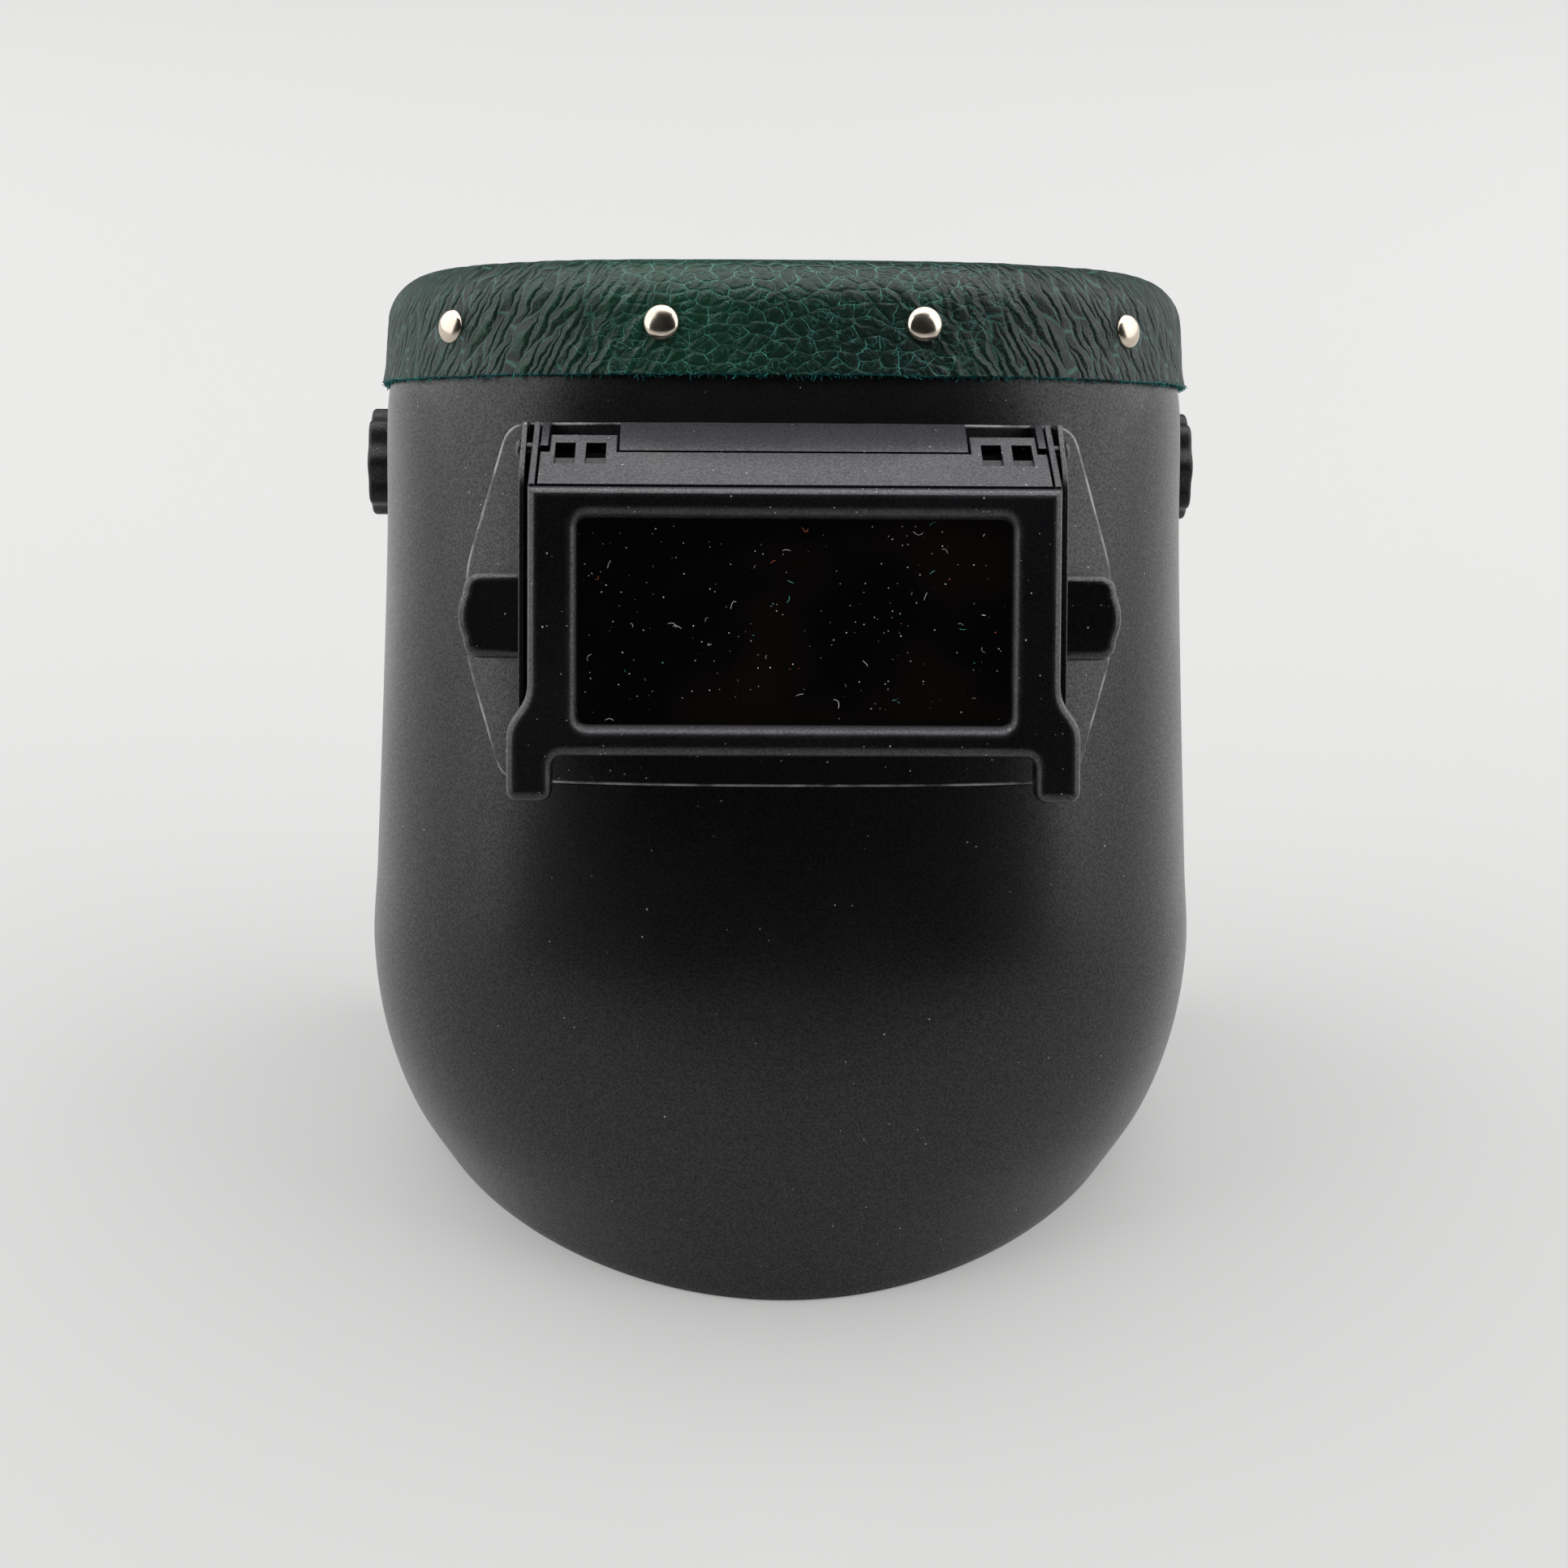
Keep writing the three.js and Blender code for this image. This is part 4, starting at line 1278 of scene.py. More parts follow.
def shell_mesh(
    name: str, outer: Array, inner: Array, bulge: float, steps: int, spans: Array | None = None
) -> Piece:
    """Joins two surface grids into one wall with a rounded edge.

    Args:
        name: The object's name.
        outer: The outer points by row and column.
        inner: The inner points, in the same order.
        bulge: How far the edge stands out past the grids.
        steps: Points across the edge.
        spans: The map coordinates of each grid point, if the wall gets a map.

    Returns:
        The object.
    """
    rows, columns, _ = outer.shape
    whole = rows * columns
    order = [(i, 0) for i in range(rows - 1, -1, -1)]
    order += [(0, j) for j in range(1, columns)]
    order += [(i, columns - 1) for i in range(1, rows - 1)]
    count = len(order)
    at = tuple(np.array(order).T)
    inward = (np.clip(at[0], 1, rows - 2), np.clip(at[1], 1, columns - 2))
    away = (outer[at] - outer[inward]) + (inner[at] - inner[inward])
    along = np.roll(outer[at], -1, axis=0) - np.roll(outer[at], 1, axis=0)
    away -= along * ((away * along).sum(axis=1) / (along * along).sum(axis=1))[:, None]
    away /= np.maximum(np.linalg.norm(away, axis=1, keepdims=True), TINY)
    middle, reach = (outer[at] + inner[at]) / 2, (outer[at] - inner[at]) / 2

    points = [outer.reshape(-1, 3), inner.reshape(-1, 3)]
    for step in range(1, steps):
        turn = math.pi * step / steps
        points.append(middle + reach * math.cos(turn) + away * bulge * math.sin(turn))
    wear_and_painted_light = np.concatenate([np.zeros(2 * whole), np.ones((steps - 1) * count)])
    faces = []
    for i in range(rows - 1):
        for j in range(columns - 1):
            a, b = i * columns + j, (i + 1) * columns + j
            faces.append((a, a + 1, b + 1, b))
            faces.append((whole + a, whole + b, whole + b + 1, whole + a + 1))
    border = [i * columns + j for i, j in order]
    starts = [2 * whole + step * count for step in range(steps - 1)]
    rings = [border, *[range(start, start + count) for start in starts], [whole + k for k in border]]
    for low, high in zip(rings, rings[1:]):
        for k in range(count):
            after = (k + 1) % count
            faces.append((low[k], high[k], high[after], low[after]))

    data = bpy.data.meshes.new(name)
    data.from_pydata(np.concatenate(points).tolist(), [], faces)
    worn_and_highlight = data.attributes.new("wear_and_painted_light", "FLOAT", "POINT")
    worn_and_highlight.data.foreach_set("value", wear_and_painted_light.astype(np.float32))
    if spans is not None:
        mapped = np.concatenate([spans.reshape(-1, 2)] * 2 + [spans[at]] * (steps - 1))
        corners = np.zeros(len(data.loops), np.int32)
        data.loops.foreach_get("vertex_index", corners)
        layer = data.uv_layers.new(name="span")
        layer.data.foreach_set("uv", mapped[corners].astype(np.float32).ravel())
    data.transform(UPRIGHT.matrix())
    shape = bmesh.new()
    shape.from_mesh(data)
    bmesh.ops.remove_doubles(shape, verts=shape.verts, dist=WALL_WELD * MM)
    bmesh.ops.recalc_face_normals(shape, faces=shape.faces)
    shape.to_mesh(data)
    shape.free()
    return new_object(name, data)


# Sub-assemblies.


@dataclass(frozen=True)
class ShellOpening:
    """The opening in the shell's front, which the fixed holder frames."""

    half: float = 56.5
    low: float = -57.0
    high: float = -4.5
    corner: float = 6.0

    def shape(self) -> list[Point]:
        """Draws the opening."""
        return rectangle(self.half, self.low, self.high, self.corner)

    def stretched(self, points: Array) -> Array:
        """Moves points towards or away from the opening's middle, onto its square outline.

        Args:
            points: The points, one row each.

        Returns:
            The moved points.
        """
        middle, reach = (self.low + self.high) / 2, (self.high - self.low) / 2
        x, z = points[:, 0], points[:, 1] - middle
        scale = 1 / np.maximum(np.abs(x) / self.half, np.abs(z) / reach)
        return np.stack([x * scale, z * scale + middle], axis=1)


@dataclass
class Shell:
    """The moulded shell: one hollow wall with a rounded rim, a window and stud holes."""

    finishes: Finishes
    form: ShellForm
    opening: ShellOpening
    wall: float = 2.5
    edge: float = 0.8
    edge_steps: int = 6
    columns: int = 180
    rows: tuple[int, int, int] = (96, 10, 26)
    cut_depth: float = 65.0
    stud_hole: float = 3.4
    stud_reach: Pair = (90.0, 120.0)
    stud_faces: int = 32

    def build(self) -> None:
        """Makes the shell."""
        share = np.linspace(-1, 1, self.columns + 1)
        grids = []
        for offset in (0.0, -self.wall):
            low = self.form.rim(share, -offset, self.edge, self.edge)
            grids.append(self.form.grid(share, low, self.rows, offset, self.edge))
        obj = shell_mesh("hood_shell", *grids, self.edge, self.edge_steps)
        cutters = self.cutters()
        for cutter in cutters:
            tool = obj.modifiers.new("cut", "BOOLEAN")
            tool.operation = "DIFFERENCE"
            tool.solver = "EXACT"
            tool.object = cutter
        bake(obj)
        for cutter in cutters:
            bpy.data.objects.remove(cutter)
        obj.data.set_sharp_from_angle(angle=SMOOTH_ANGLE)
        dress(obj, Body.HOOD, Slot.SHELL, self.finishes["shell"], "shell")

    def cutters(self) -> list[Piece]:
        """Makes the bodies that cut the window and the stud holes.

        Returns:
            The two bodies.
        """
        window = Sketch()
        window.plate(self.opening.shape(), 0.0, self.cut_depth, across_y)
        holes = Sketch()
        for side in Side:
            low, high = side.span(*self.stud_reach)
            profile = [(low, 0), (low, self.stud_hole), (high, self.stud_hole), (high, 0)]
            holes.turned(profile, UPRIGHT.pivot, self.stud_faces)
        return [window.finish("window_cutter"), holes.finish("stud_cutter")]


@dataclass
class LeatherCover:
    """Leather stretched over the brow and the top, with folds and a raw lower edge.

    Attributes:
        waves: Number, start and height of the cut edge's waves.
        fold_sides: Where the folds start, from the middle, and how fast they rise there.
        fold_top: Where the folds end, from the lower edge, and how fast they fade there.
    """

    finishes: Finishes
    form: ShellForm
    gap: float = 0.3
    thickness: float = 1.4
    lower_edge: float = 27.5
    rear_setback: float = 1.2
    bulge: float = 0.35
    edge_steps: int = 5
    columns: int = 380
    rows: tuple[int, int, int] = (18, 16, 66)
    fold_height: float = 0.32
    fold_length: float = 22.0
    fold_width: float = 5.5
    fold_slant: float = 52.0
    fold_sides: Pair = (18.0, 40.0)
    fold_top: Pair = (60.0, 30.0)
    fold_least: float = 0.15
    fold_apart: float = 5.0
    edge_wave: float = 0.45
    waves: tuple[Place, ...] = ((9.0, 3.7, 0.7), (55.0, 8.1, 0.45))
    fibre_spacing: float = 0.2
    fibre_length: float = 1.5
    fibre_radius: float = 0.11

    def build(self) -> None:
        """Makes the cover and makes the fibres of its edge."""
        share = np.linspace(-1, 1, self.columns + 1)
        low = np.array([self.lower_edge + self.ripple(s) for s in share])
        outer = self.form.grid(share, low, self.rows, self.gap + self.thickness, self.rear_setback)
        inner = self.form.grid(share, low, self.rows, self.gap, self.rear_setback)
        spans = self.spans(outer)
        outer = outer + grid_normals(outer) * self.folds(spans)[..., None]
        obj = shell_mesh("leather_top", outer, inner, self.bulge, self.edge_steps, spans * MM)
        dress(obj, Body.HOOD, Slot.LEATHER, self.finishes["leather"], "leather_cover")
        self.fibres((outer[0] + inner[0]) / 2)

    def ripple(self, share: float) -> float:
        """Gives the unevenness of the cut edge at a column."""
        waves = (tall * noise.noise((share * many, start, 0.0)) for many, start, tall in self.waves)
        return self.edge_wave * sum(waves)

    @staticmethod
    def spans(grid: Array) -> Array:
        """Measures the cover along its surface.

        Args:
            grid: The points by row and column.

        Returns:
            Each point's distance from the middle and from the lower edge.
        """
        u = running(np.linalg.norm(np.diff(grid, axis=1), axis=2), 1)
        u -= u[:, u.shape[1] // 2][:, None]
        v = running(np.linalg.norm(np.diff(grid, axis=0), axis=2), 0)
        return np.stack([u, v], axis=2)

    def folds(self, spans: Array) -> Array:
        """Gives the slanting folds over the cover.

        Args:
            spans: Each point's distances along the surface.

        Returns:
            The height at each point.
        """
        slant = math.radians(self.fold_slant)
        out, up, side = np.abs(spans[..., 0]), spans[..., 1], np.sign(spans[..., 0])
        along = -out * math.cos(slant) + up * math.sin(slant)
        over = out * math.sin(slant) + up * math.cos(slant)
        height = np.zeros(out.shape)
        for i, j in np.ndindex(out.shape):
            apart = self.fold_apart * side[i, j]
            spot = (along[i, j] / self.fold_length, over[i, j] / self.fold_width, apart)
            height[i, j] = 1 - 2 * abs(noise.noise(spot))
        (start, rise), (end, fall) = self.fold_sides, self.fold_top
        fade = np.clip((out - start) / rise, self.fold_least, 1.0) * np.clip((end - up) / fall, 0.0, 1.0)
        return self.fold_height * height * fade

    @staticmethod
    def area(grid: Array) -> float:
        """Measures a surface.

        Args:
            grid: The points by row and column.

        Returns:
            The area in square metres.
        """
        a = grid[1:, :-1] - grid[:-1, :-1]
        b = grid[:-1, 1:] - grid[:-1, :-1]
        c = grid[1:, :-1] - grid[1:, 1:]
        d = grid[:-1, 1:] - grid[1:, 1:]
        whole = np.linalg.norm(np.cross(a, b), axis=2) + np.linalg.norm(np.cross(c, d), axis=2)
        return float(whole.sum()) / 2 * MM * MM

    def fibres(self, edge: Array) -> None:
        """Makes the loose fibres along the cut edge.

        Args:
            edge: The points along the edge.
        """
        data = bpy.data.meshes.new("raw_edge")
        data.from_pydata(edge.tolist(), [(i, i + 1) for i in range(len(edge) - 1)], [])
        data.transform(UPRIGHT.matrix())
        obj = new_object("raw_edge_fibres", data)
        sizes = {"Spacing": self.fibre_spacing, "Length": self.fibre_length, "Thickness": self.fibre_radius}
        finish = self.finishes["fibre"]
        grow(obj, fibre_tree(finish), {name: size * MM for name, size in sizes.items()})
        dress(obj, Body.HOOD, Slot.LEATHER, finish)


def grow(obj: Piece, tree: Tree, values: dict[str, Any]) -> None:
    """Runs a geometry tree on an object and keeps the result as its plain mesh.

    Args:
        obj: The object.
        tree: The geometry tree.
        values: The tree's inputs by name.
    """
    modifier = obj.modifiers.new(tree.name, "NODES")
    modifier.node_group = tree
    for item in tree.interface.items_tree:
        if item.item_type == "SOCKET" and item.in_out == "INPUT" and item.name in values:
            modifier[item.identifier] = values[item.name]
    bake(obj)


def geometry_tree(name: str, inputs: dict[str, str]) -> tuple[NodeSheet, Any, Node]:
    """Starts a geometry tree with its own inputs after the geometry, as new_tree does."""
    shape = {"Geometry": GEOMETRY}
    return new_tree(name, "GeometryNodeTree", {**shape, **inputs}, shape)


def close_tree(sheet: NodeSheet, end: Node, shape: Socket, finish: Material) -> Tree:
    """Ends a geometry tree: realises its instances, smooths them and sets their material.

    Args:
        sheet: The tree's sheet.
        end: Its output node.
        shape: What it has made.
        finish: The material.

    Returns:
        The tree.
    """
    real = sheet.get("GeometryNodeRealizeInstances", {0: shape})
    smooth = sheet.get("GeometryNodeSetShadeSmooth", {0: real})
    dressed = sheet.get("GeometryNodeSetMaterial", {0: smooth, "Material": finish})
    sheet.feed(end.inputs[0], dressed)
    return sheet.tree


def hair(sheet: NodeSheet, length: Any, thickness: Any, bend: float) -> Socket:
    """Adds one bent fibre along z.

    Args:
        sheet: The tree's sheet.
        length: The fibre's length.
        thickness: Its radius.
        bend: How far its middle stands aside, as a share of its length.

    Returns:
        Its mesh.
    """
    middle = sheet.vector("SCALE", (bend, 0.0, 0.5), length)
    tip = sheet.vector("SCALE", (bend * 0.3, 0.35, 0.9), length)
    path = {"Resolution": 4, "Start": (0, 0, 0), "Middle": middle, "End": tip}
    line = sheet.get("GeometryNodeCurveQuadraticBezier", path)
    ring = sheet.get("GeometryNodeCurvePrimitiveCircle", {"Resolution": 3, "Radius": thickness})
    return sheet.get("GeometryNodeCurveToMesh", {0: line, 1: ring, "Fill Caps": True})


def scatter(
    sheet: NodeSheet, points: Any, shape: Any, turn: tuple[Place, Place], scale: Pair, seed: int
) -> Socket:
    """Puts a shape on points with random turns, sizes and tints.

    Args:
        sheet: The tree's sheet.
        points: The points.
        shape: The shape to repeat.
        turn: The least and greatest turn about each axis.
        scale: The least and greatest size.
        seed: The seed of what is random.

    Returns:
        The instances.
    """
    node = sheet.add("GeometryNodeInstanceOnPoints", {"Points": points, "Instance": shape})
    sheet.feed(node.inputs["Rotation"], sheet.random_vector(*turn, seed))
    sheet.feed(node.inputs["Scale"], sheet.random(*scale, seed + 1))
    tint = {"Geometry": node.outputs[0], "Name": "tint", "Value": sheet.random(0.0, 1.0, seed + 2)}
    return sheet.get("GeometryNodeStoreNamedAttribute", tint, domain="INSTANCE")


def fibre_tree(finish: Material) -> Tree:
    """Builds the tree of loose fibres along a line.

    Args:
        finish: The fibres' material.

    Returns:
        The tree.
    """
    inputs = {"Spacing": FLOAT, "Length": FLOAT, "Thickness": FLOAT}
    sheet, start, end = geometry_tree("Raw edge fibres", inputs)
    line = sheet.get("GeometryNodeMeshToCurve", {0: start[0]})
    spaced = {0: line, "Length": start["Spacing"]}
    points = sheet.get("GeometryNodeCurveToPoints", spaced, mode="LENGTH")
    shift = sheet.random_vector((-4e-4, -5e-4, -3e-4), (4e-4, 5e-4, 5e-4), 11)
    moved = sheet.get("GeometryNodeSetPosition", {"Geometry": points, "Offset": shift})
    shape = hair(sheet, start["Length"], start["Thickness"], 0.5)
    turns = ((1.2, -1.2, 0.0), (4.6, 1.2, FULL_TURN))
    made = scatter(sheet, moved, shape, turns, (0.35, 1.1), 12)
    return close_tree(sheet, end, made, finish)


def lint_tree(finish: Material) -> Tree:
    """Builds the tree of specks and lint on a flat face.

    Args:
        finish: The lint's material.

    Returns:
        The tree.
    """
    inputs = {"Specks": FLOAT, "Hairs": FLOAT, "Speck size": FLOAT, "Hair length": FLOAT, "Seed": INTEGER}
    sheet, start, end = geometry_tree("Lint on glass", inputs)
    size = start["Speck size"]
    speck = sheet.get("GeometryNodeMeshIcoSphere", {"Radius": size, "Subdivisions": 1})
    strand = hair(sheet, start["Hair length"], sheet.times(size, 0.36), 0.7)
    turns = ((0, 0, 0), (FULL_TURN, FULL_TURN, FULL_TURN))
    made = []
    for density, shape, scale, seed in (
        ("Specks", speck, (0.2, 1.35), 21),
        ("Hairs", strand, (0.2, 1.3), 31),
    ):
        draw = sheet.math("ADD", start["Seed"], seed)
        spread = {"Mesh": start[0], "Density": start[density], "Seed": draw}
        points = sheet.get("GeometryNodeDistributePointsOnFaces", spread)
        made.append(scatter(sheet, points, shape, turns, scale, seed))
    return close_tree(sheet, end, sheet.join(made), finish)


def rivet_tree(finish: Material) -> Tree:
    """Builds the tree of domed rivets on points, each along its point's out vector.

    Args:
        finish: The rivets' material.

    Returns:
        The tree.
    """
    names = ("Head radius", "Head height", "Rim")
    names += ("Shank radius", "Shank length", "Tail radius", "Tail height")
    sheet, size, end = geometry_tree("Domed rivets", {name: FLOAT for name in names})
    wide, rim, shank = size["Head radius"], size["Rim"], size["Shank length"]
    ball = sheet.get("GeometryNodeMeshUVSphere", {"Segments": 48, "Rings": 32, "Radius": 1.0})
    spot = sheet.get("GeometryNodeInputPosition")
    spot = sheet.vector("MULTIPLY", spot, sheet.xyz(wide, wide, size["Head height"]))
    spot = sheet.vector("MAXIMUM", spot, sheet.xyz(-1.0, -1.0, sheet.times(rim, -1.0)))
    spot = sheet.vector("ADD", spot, sheet.xyz(z=rim))
    parts = [sheet.get("GeometryNodeSetPosition", {"Geometry": ball, "Position": spot})]
    for radius, length, share in (
        (size["Shank radius"], shank, -0.5),
        (size["Tail radius"], size["Tail height"], -1.0),
    ):
        rod = {"Vertices": 28, "Radius": radius, "Depth": length}
        rod = sheet.get("GeometryNodeMeshCylinder", rod)
        away = sheet.xyz(z=sheet.times(shank, share))
        parts.append(sheet.get("GeometryNodeTransform", {"Geometry": rod, "Translation": away}))
    out = sheet.get("GeometryNodeInputNamedAttribute", {"Name": "out"}, data_type="FLOAT_VECTOR")
    turn = sheet.get("FunctionNodeAlignRotationToVector", {"Vector": out}, axis="Z")
    seats = {"Points": size[0], "Instance": sheet.join(parts), "Rotation": turn}
    made = sheet.get("GeometryNodeInstanceOnPoints", seats)
    return close_tree(sheet, end, made, finish)


def flute_tree(finish: Material) -> Tree:
    """Builds the tree that presses flutes into a body turned about a line along x.

    Args:
        finish: The body's material.

    Returns:
        The tree.
    """
    numbers = {name: FLOAT for name in ("Lobes", "Depth", "Sharpness", "Inner radius")}
    sheet, start, end = geometry_tree("Knob flutes", {"Centre": VECTOR, **numbers})
    spot = sheet.get("GeometryNodeInputPosition")
    parts = sheet.add("ShaderNodeSeparateXYZ", {0: sheet.vector("SUBTRACT", spot, start["Centre"])}).outputs
    across = sheet.xyz(0.0, parts[1], parts[2])
    turn = sheet.math("ARCTAN2", parts[2], parts[1])
    wave = sheet.math("COSINE", sheet.times(turn, sheet.times(start["Lobes"], 0.5)))
    dip = sheet.math("POWER", sheet.math("ABSOLUTE", wave), start["Sharpness"])
    inner = start["Inner radius"]
    reach = sheet.ramp(sheet.vector("LENGTH", across), inner, sheet.times(inner, 1.35))
    depth = sheet.times(sheet.times(dip, reach), start["Depth"])
    inward = sheet.vector("SCALE", sheet.vector("NORMALIZE", across), sheet.times(depth, -1.0))
    moved = sheet.get("GeometryNodeSetPosition", {"Geometry": start[0], "Offset": inward})
    return close_tree(sheet, end, moved, finish)


@dataclass
class RivetRow:
    """Domed nickel rivets round the brow."""

    finishes: Finishes
    form: ShellForm
    z: float = 39.5
    plan_angles: tuple[float, ...] = (-47.6, -12.1, 12.1, 47.6)
    lift: float = 1.75
    head_radius: float = 4.3
    head_height: float = 1.95
    rim: float = 0.35
    shank_radius: float = 1.5
    tail_radius: float = 3.2
    tail_height: float = 0.9
    shell_wall: float = 2.5
    smooth: float = 50.0

    def build(self) -> None:
        """Makes the rivets."""
        spots, outs = zip(*(self.spot(math.radians(angle)) for angle in self.plan_angles))
        data = bpy.data.meshes.new("rivet_points")
        data.from_pydata([UPRIGHT.point(*spot) for spot in spots], [], [])
        turn = UPRIGHT.matrix().to_3x3()
        ways = np.array([(turn @ Vector(out)).normalized() for out in outs], np.float32)
        data.attributes.new("out", "FLOAT_VECTOR", "POINT").data.foreach_set("vector", ways.ravel())
        obj = new_object("brow_rivets", data)
        sizes = {
            "Head radius": self.head_radius,
            "Head height": self.head_height,
            "Rim": self.rim,
            "Shank radius": self.shank_radius,
            "Shank length": self.lift + self.shell_wall + self.tail_height,
            "Tail radius": self.tail_radius,
            "Tail height": self.tail_height,
        }
        finish = self.finishes["nickel"]
        grow(obj, rivet_tree(finish), {name: size * MM for name, size in sizes.items()})
        obj.data.set_sharp_from_angle(angle=math.radians(self.smooth))
        nodes = [f"rivet_{i + 1}" for i in range(len(self.plan_angles))]
        dress(obj, Body.HOOD, Slot.NICKEL, finish, *nodes)

    def seat(self, angle: float, z: float) -> Array:
        """Gives a point of the shell.

        Args:
            angle: Its plan angle.
            z: Its height.

        Returns:
            Its x, y and z.
        """
        half, front, depth, power = self.form.section_at(z)
        x = math.copysign(half * abs(math.sin(angle)) ** (2 / power), angle)
        return np.array([x, front + depth * (1 - math.cos(angle) ** (2 / power)), z])

    def spot(self, angle: float) -> tuple[tuple[float, ...], tuple[float, ...]]:
        """Finds a rivet's place.

        Args:
            angle: Its plan angle.

        Returns:
            Its seat on the leather and the way that it points out.
        """
        half, _, depth, power = self.form.section_at(self.z)
        bend = 2 - 2 / power
        x = math.copysign(abs(math.sin(angle)) ** bend / half, angle)
        across = np.array([x, -(math.cos(angle) ** bend) / depth])
        across /= np.linalg.norm(across)
        tilt = (self.seat(angle, self.z + 1) - self.seat(angle, self.z - 1))[:2] @ across / 2
        out = np.array([*across, -tilt])
        out /= np.linalg.norm(out)
        return tuple(self.seat(angle, self.z) + out * self.lift), tuple(out)


@dataclass(frozen=True)
class LensWindow:
    """The lens plates and the sight window that they share."""

    plate_half: float = 54.0
    plate_reach: float = 25.4
    thickness: float = 3.0
    half: float = 50.0
    reach: float = 23.85
    z: float = -30.75
    corner: float = 2.5

    def shape(self, widen: float = 0.0) -> list[Point]:
        """Draws the window, made wider all round."""
        low, high = self.z - self.reach - widen, self.z + self.reach + widen
        return rectangle(self.half + widen, low, high, self.corner + widen)

    def plate(self, widen: float = 0.0) -> list[Point]:
        """Draws a lens plate, made wider all round."""
        low, high = self.z - self.plate_reach - widen, self.z + self.plate_reach + widen
        return rectangle(self.plate_half + widen, low, high)


@dataclass(frozen=True)
class Slope:
    """The sloping top that the lift front and the fixed holder share."""

    y: float = 2.0
    z: float = 0.4
    rise: float = 0.608
    rear: float = 27.0

    def height(self, y: float) -> float:
        """Gives the slope's height at y."""
        return self.z + (y - self.y) * self.rise

    def run(self, y: float) -> float:
        """Gives the distance up the slope to y."""
        return (y - self.y) * math.hypot(1, self.rise)

    def place(self, x: float, run: float, lift: float) -> Place:
        """Places a point of a plate that lies on the slope."""
        length = math.hypot(1, self.rise)
        return (x, self.y + (run - lift * self.rise) / length, self.z + (run * self.rise + lift) / length)


@dataclass
class FixedHolder:
    """The fixed lens holder: a flange that follows the shell, ears, box walls and a hinge bar.

    Attributes:
        flange_edge: Inset, height below the top, and edge wear with painted highlight, of the rings round
            the flange's edge.
    """

    finishes: Finishes
    form: ShellForm
    opening: ShellOpening
    window: LensWindow
    slope: Slope
    sketch: Sketch = field(default_factory=Sketch)
    trim: float = 0.3
    flange_corners: tuple[Point, ...] = ((70.4, -71.5), (79.6, -41.6), (79.8, -20.2), (68.9, 15.7))
    flange_round: float = 5.0
    flange_gap: float = 0.3
    flange_lift: float = 1.7
    flange_points: int = 260
    # The flange's foot and edge are lightened by edge wear with a painted highlight line.
    flange_foot_wear_and_highlight: float = 0.1
    flange_edge: tuple[Place, ...] = (
        (0.0, 0.45, 0.6),
        (0.12, 0.15, 1.0),
        (0.45, 0.0, 0.7),
        (0.75, 0.0, 0.0),
    )
    flange_rows: int = 8
    ear_inner: float = 60.0
    ear_outer: float = 80.6
    ear_low: float = -41.4
    ear_high: float = -20.4
    ear_front: float = 36.0
    ear_round: float = 2.5
    ear_corner: float = 5.0
    ear_bulge: float = 1.2
    ear_steps: int = 8
    wall_inner: float = 63.0
    wall_outer: float = 64.4
    wall_front: float = 14.0
    wall_low: float = -60.5
    wall_chamfer: float = 5.0
    wall_points: int = 24
    floor_front: float = 18.0
    floor_lap: float = 0.2
    floor_thickness: float = 1.5
    floor_points: int = 40
    bar_half: float = 41.0
    bar_front: float = 15.9
    bar_thickness: float = 2.6
    bar_trim: float = 0.25
    bar_bite: float = 1.0
    rib_inner: float = 57.6
    rib_outer: float = 59.5
    rib_front: float = 17.6
    ledge_front: float = 26.2
    ledge_rear: float = 29.4
    ledge_half: float = 58.5
    ledge_top: float = 4.5
    ledge_lap: float = 0.6
    sight_half: float = 52.0
    sight_reach: float = 22.75
    sight_corner: float = 2.0
    seat_points: int = 120
    pocket_front: float = 22.8
    pocket_rim: float = 2.0
    pocket_lap: float = 0.4
    plate_gap: float = 0.3
    bite: float = 0.8

    def build(self) -> None:
        """Makes the fixed holder."""
        self.flange()
        for side in Side:
            self.ear(side)
            self.side_wall(side)
            ends = side.span(self.rib_inner, self.rib_outer)
            self.roof_strip(self.rib_front, ends, self.buried(self.rib_inner, self.roof()))
        rear = self.buried(0, self.roof()) + self.bar_bite
        self.roof_strip(self.bar_front, (-self.bar_half, self.bar_half), rear)
        self.lower_wall()
        self.lens_seat()
        obj = self.sketch.finish("fixed_holder")
        dress(obj, Body.HOOD, Slot.HOLDER, self.finishes["holder"], "holder_base")

    def buried(self, x: float, z: float) -> float:
        """Gives the y just under the shell's skin, where a wall of the holder ends."""
        return self.form.front_y(x, z) + self.bite

    def roof(self) -> float:
        """Gives the height of the sloping top's rear."""
        return self.slope.height(self.slope.rear)

    def flange(self) -> None:
        """Adds the thin six-sided flange round the shell's opening."""
        corners = [*self.flange_corners, *mirrored(self.flange_corners)]
        outline = resampled(rounded_loop(corners, self.flange_round), self.flange_points)
        gap, lift = self.flange_gap, self.flange_lift
        rows = [(offset_loop(outline, 0.0), gap, self.flange_foot_wear_and_highlight)]
        rows += [(offset_loop(outline, inset), lift - down, wear_and_painted_light) for inset, down, wear_and_painted_light in self.flange_edge]
        outer = rows[-1][0]
        inner = self.opening.stretched(outer)
        steps = [step / self.flange_rows for step in range(1, self.flange_rows + 1)]
        rows += [(outer + (inner - outer) * t, lift, 0.0) for t in steps]
        rows += [(outer + (inner - outer) * t, gap, 0.0) for t in reversed(steps)]
        rings = []
        for points, height, wear_and_painted_light in rows:
            places = [(x, self.form.front_y(x, z, height), z) for x, z in points]
            rings.append([self.sketch.vertex(place, wear_and_painted_light) for place in places])
        self.sketch.skin([*rings, rings[0]])

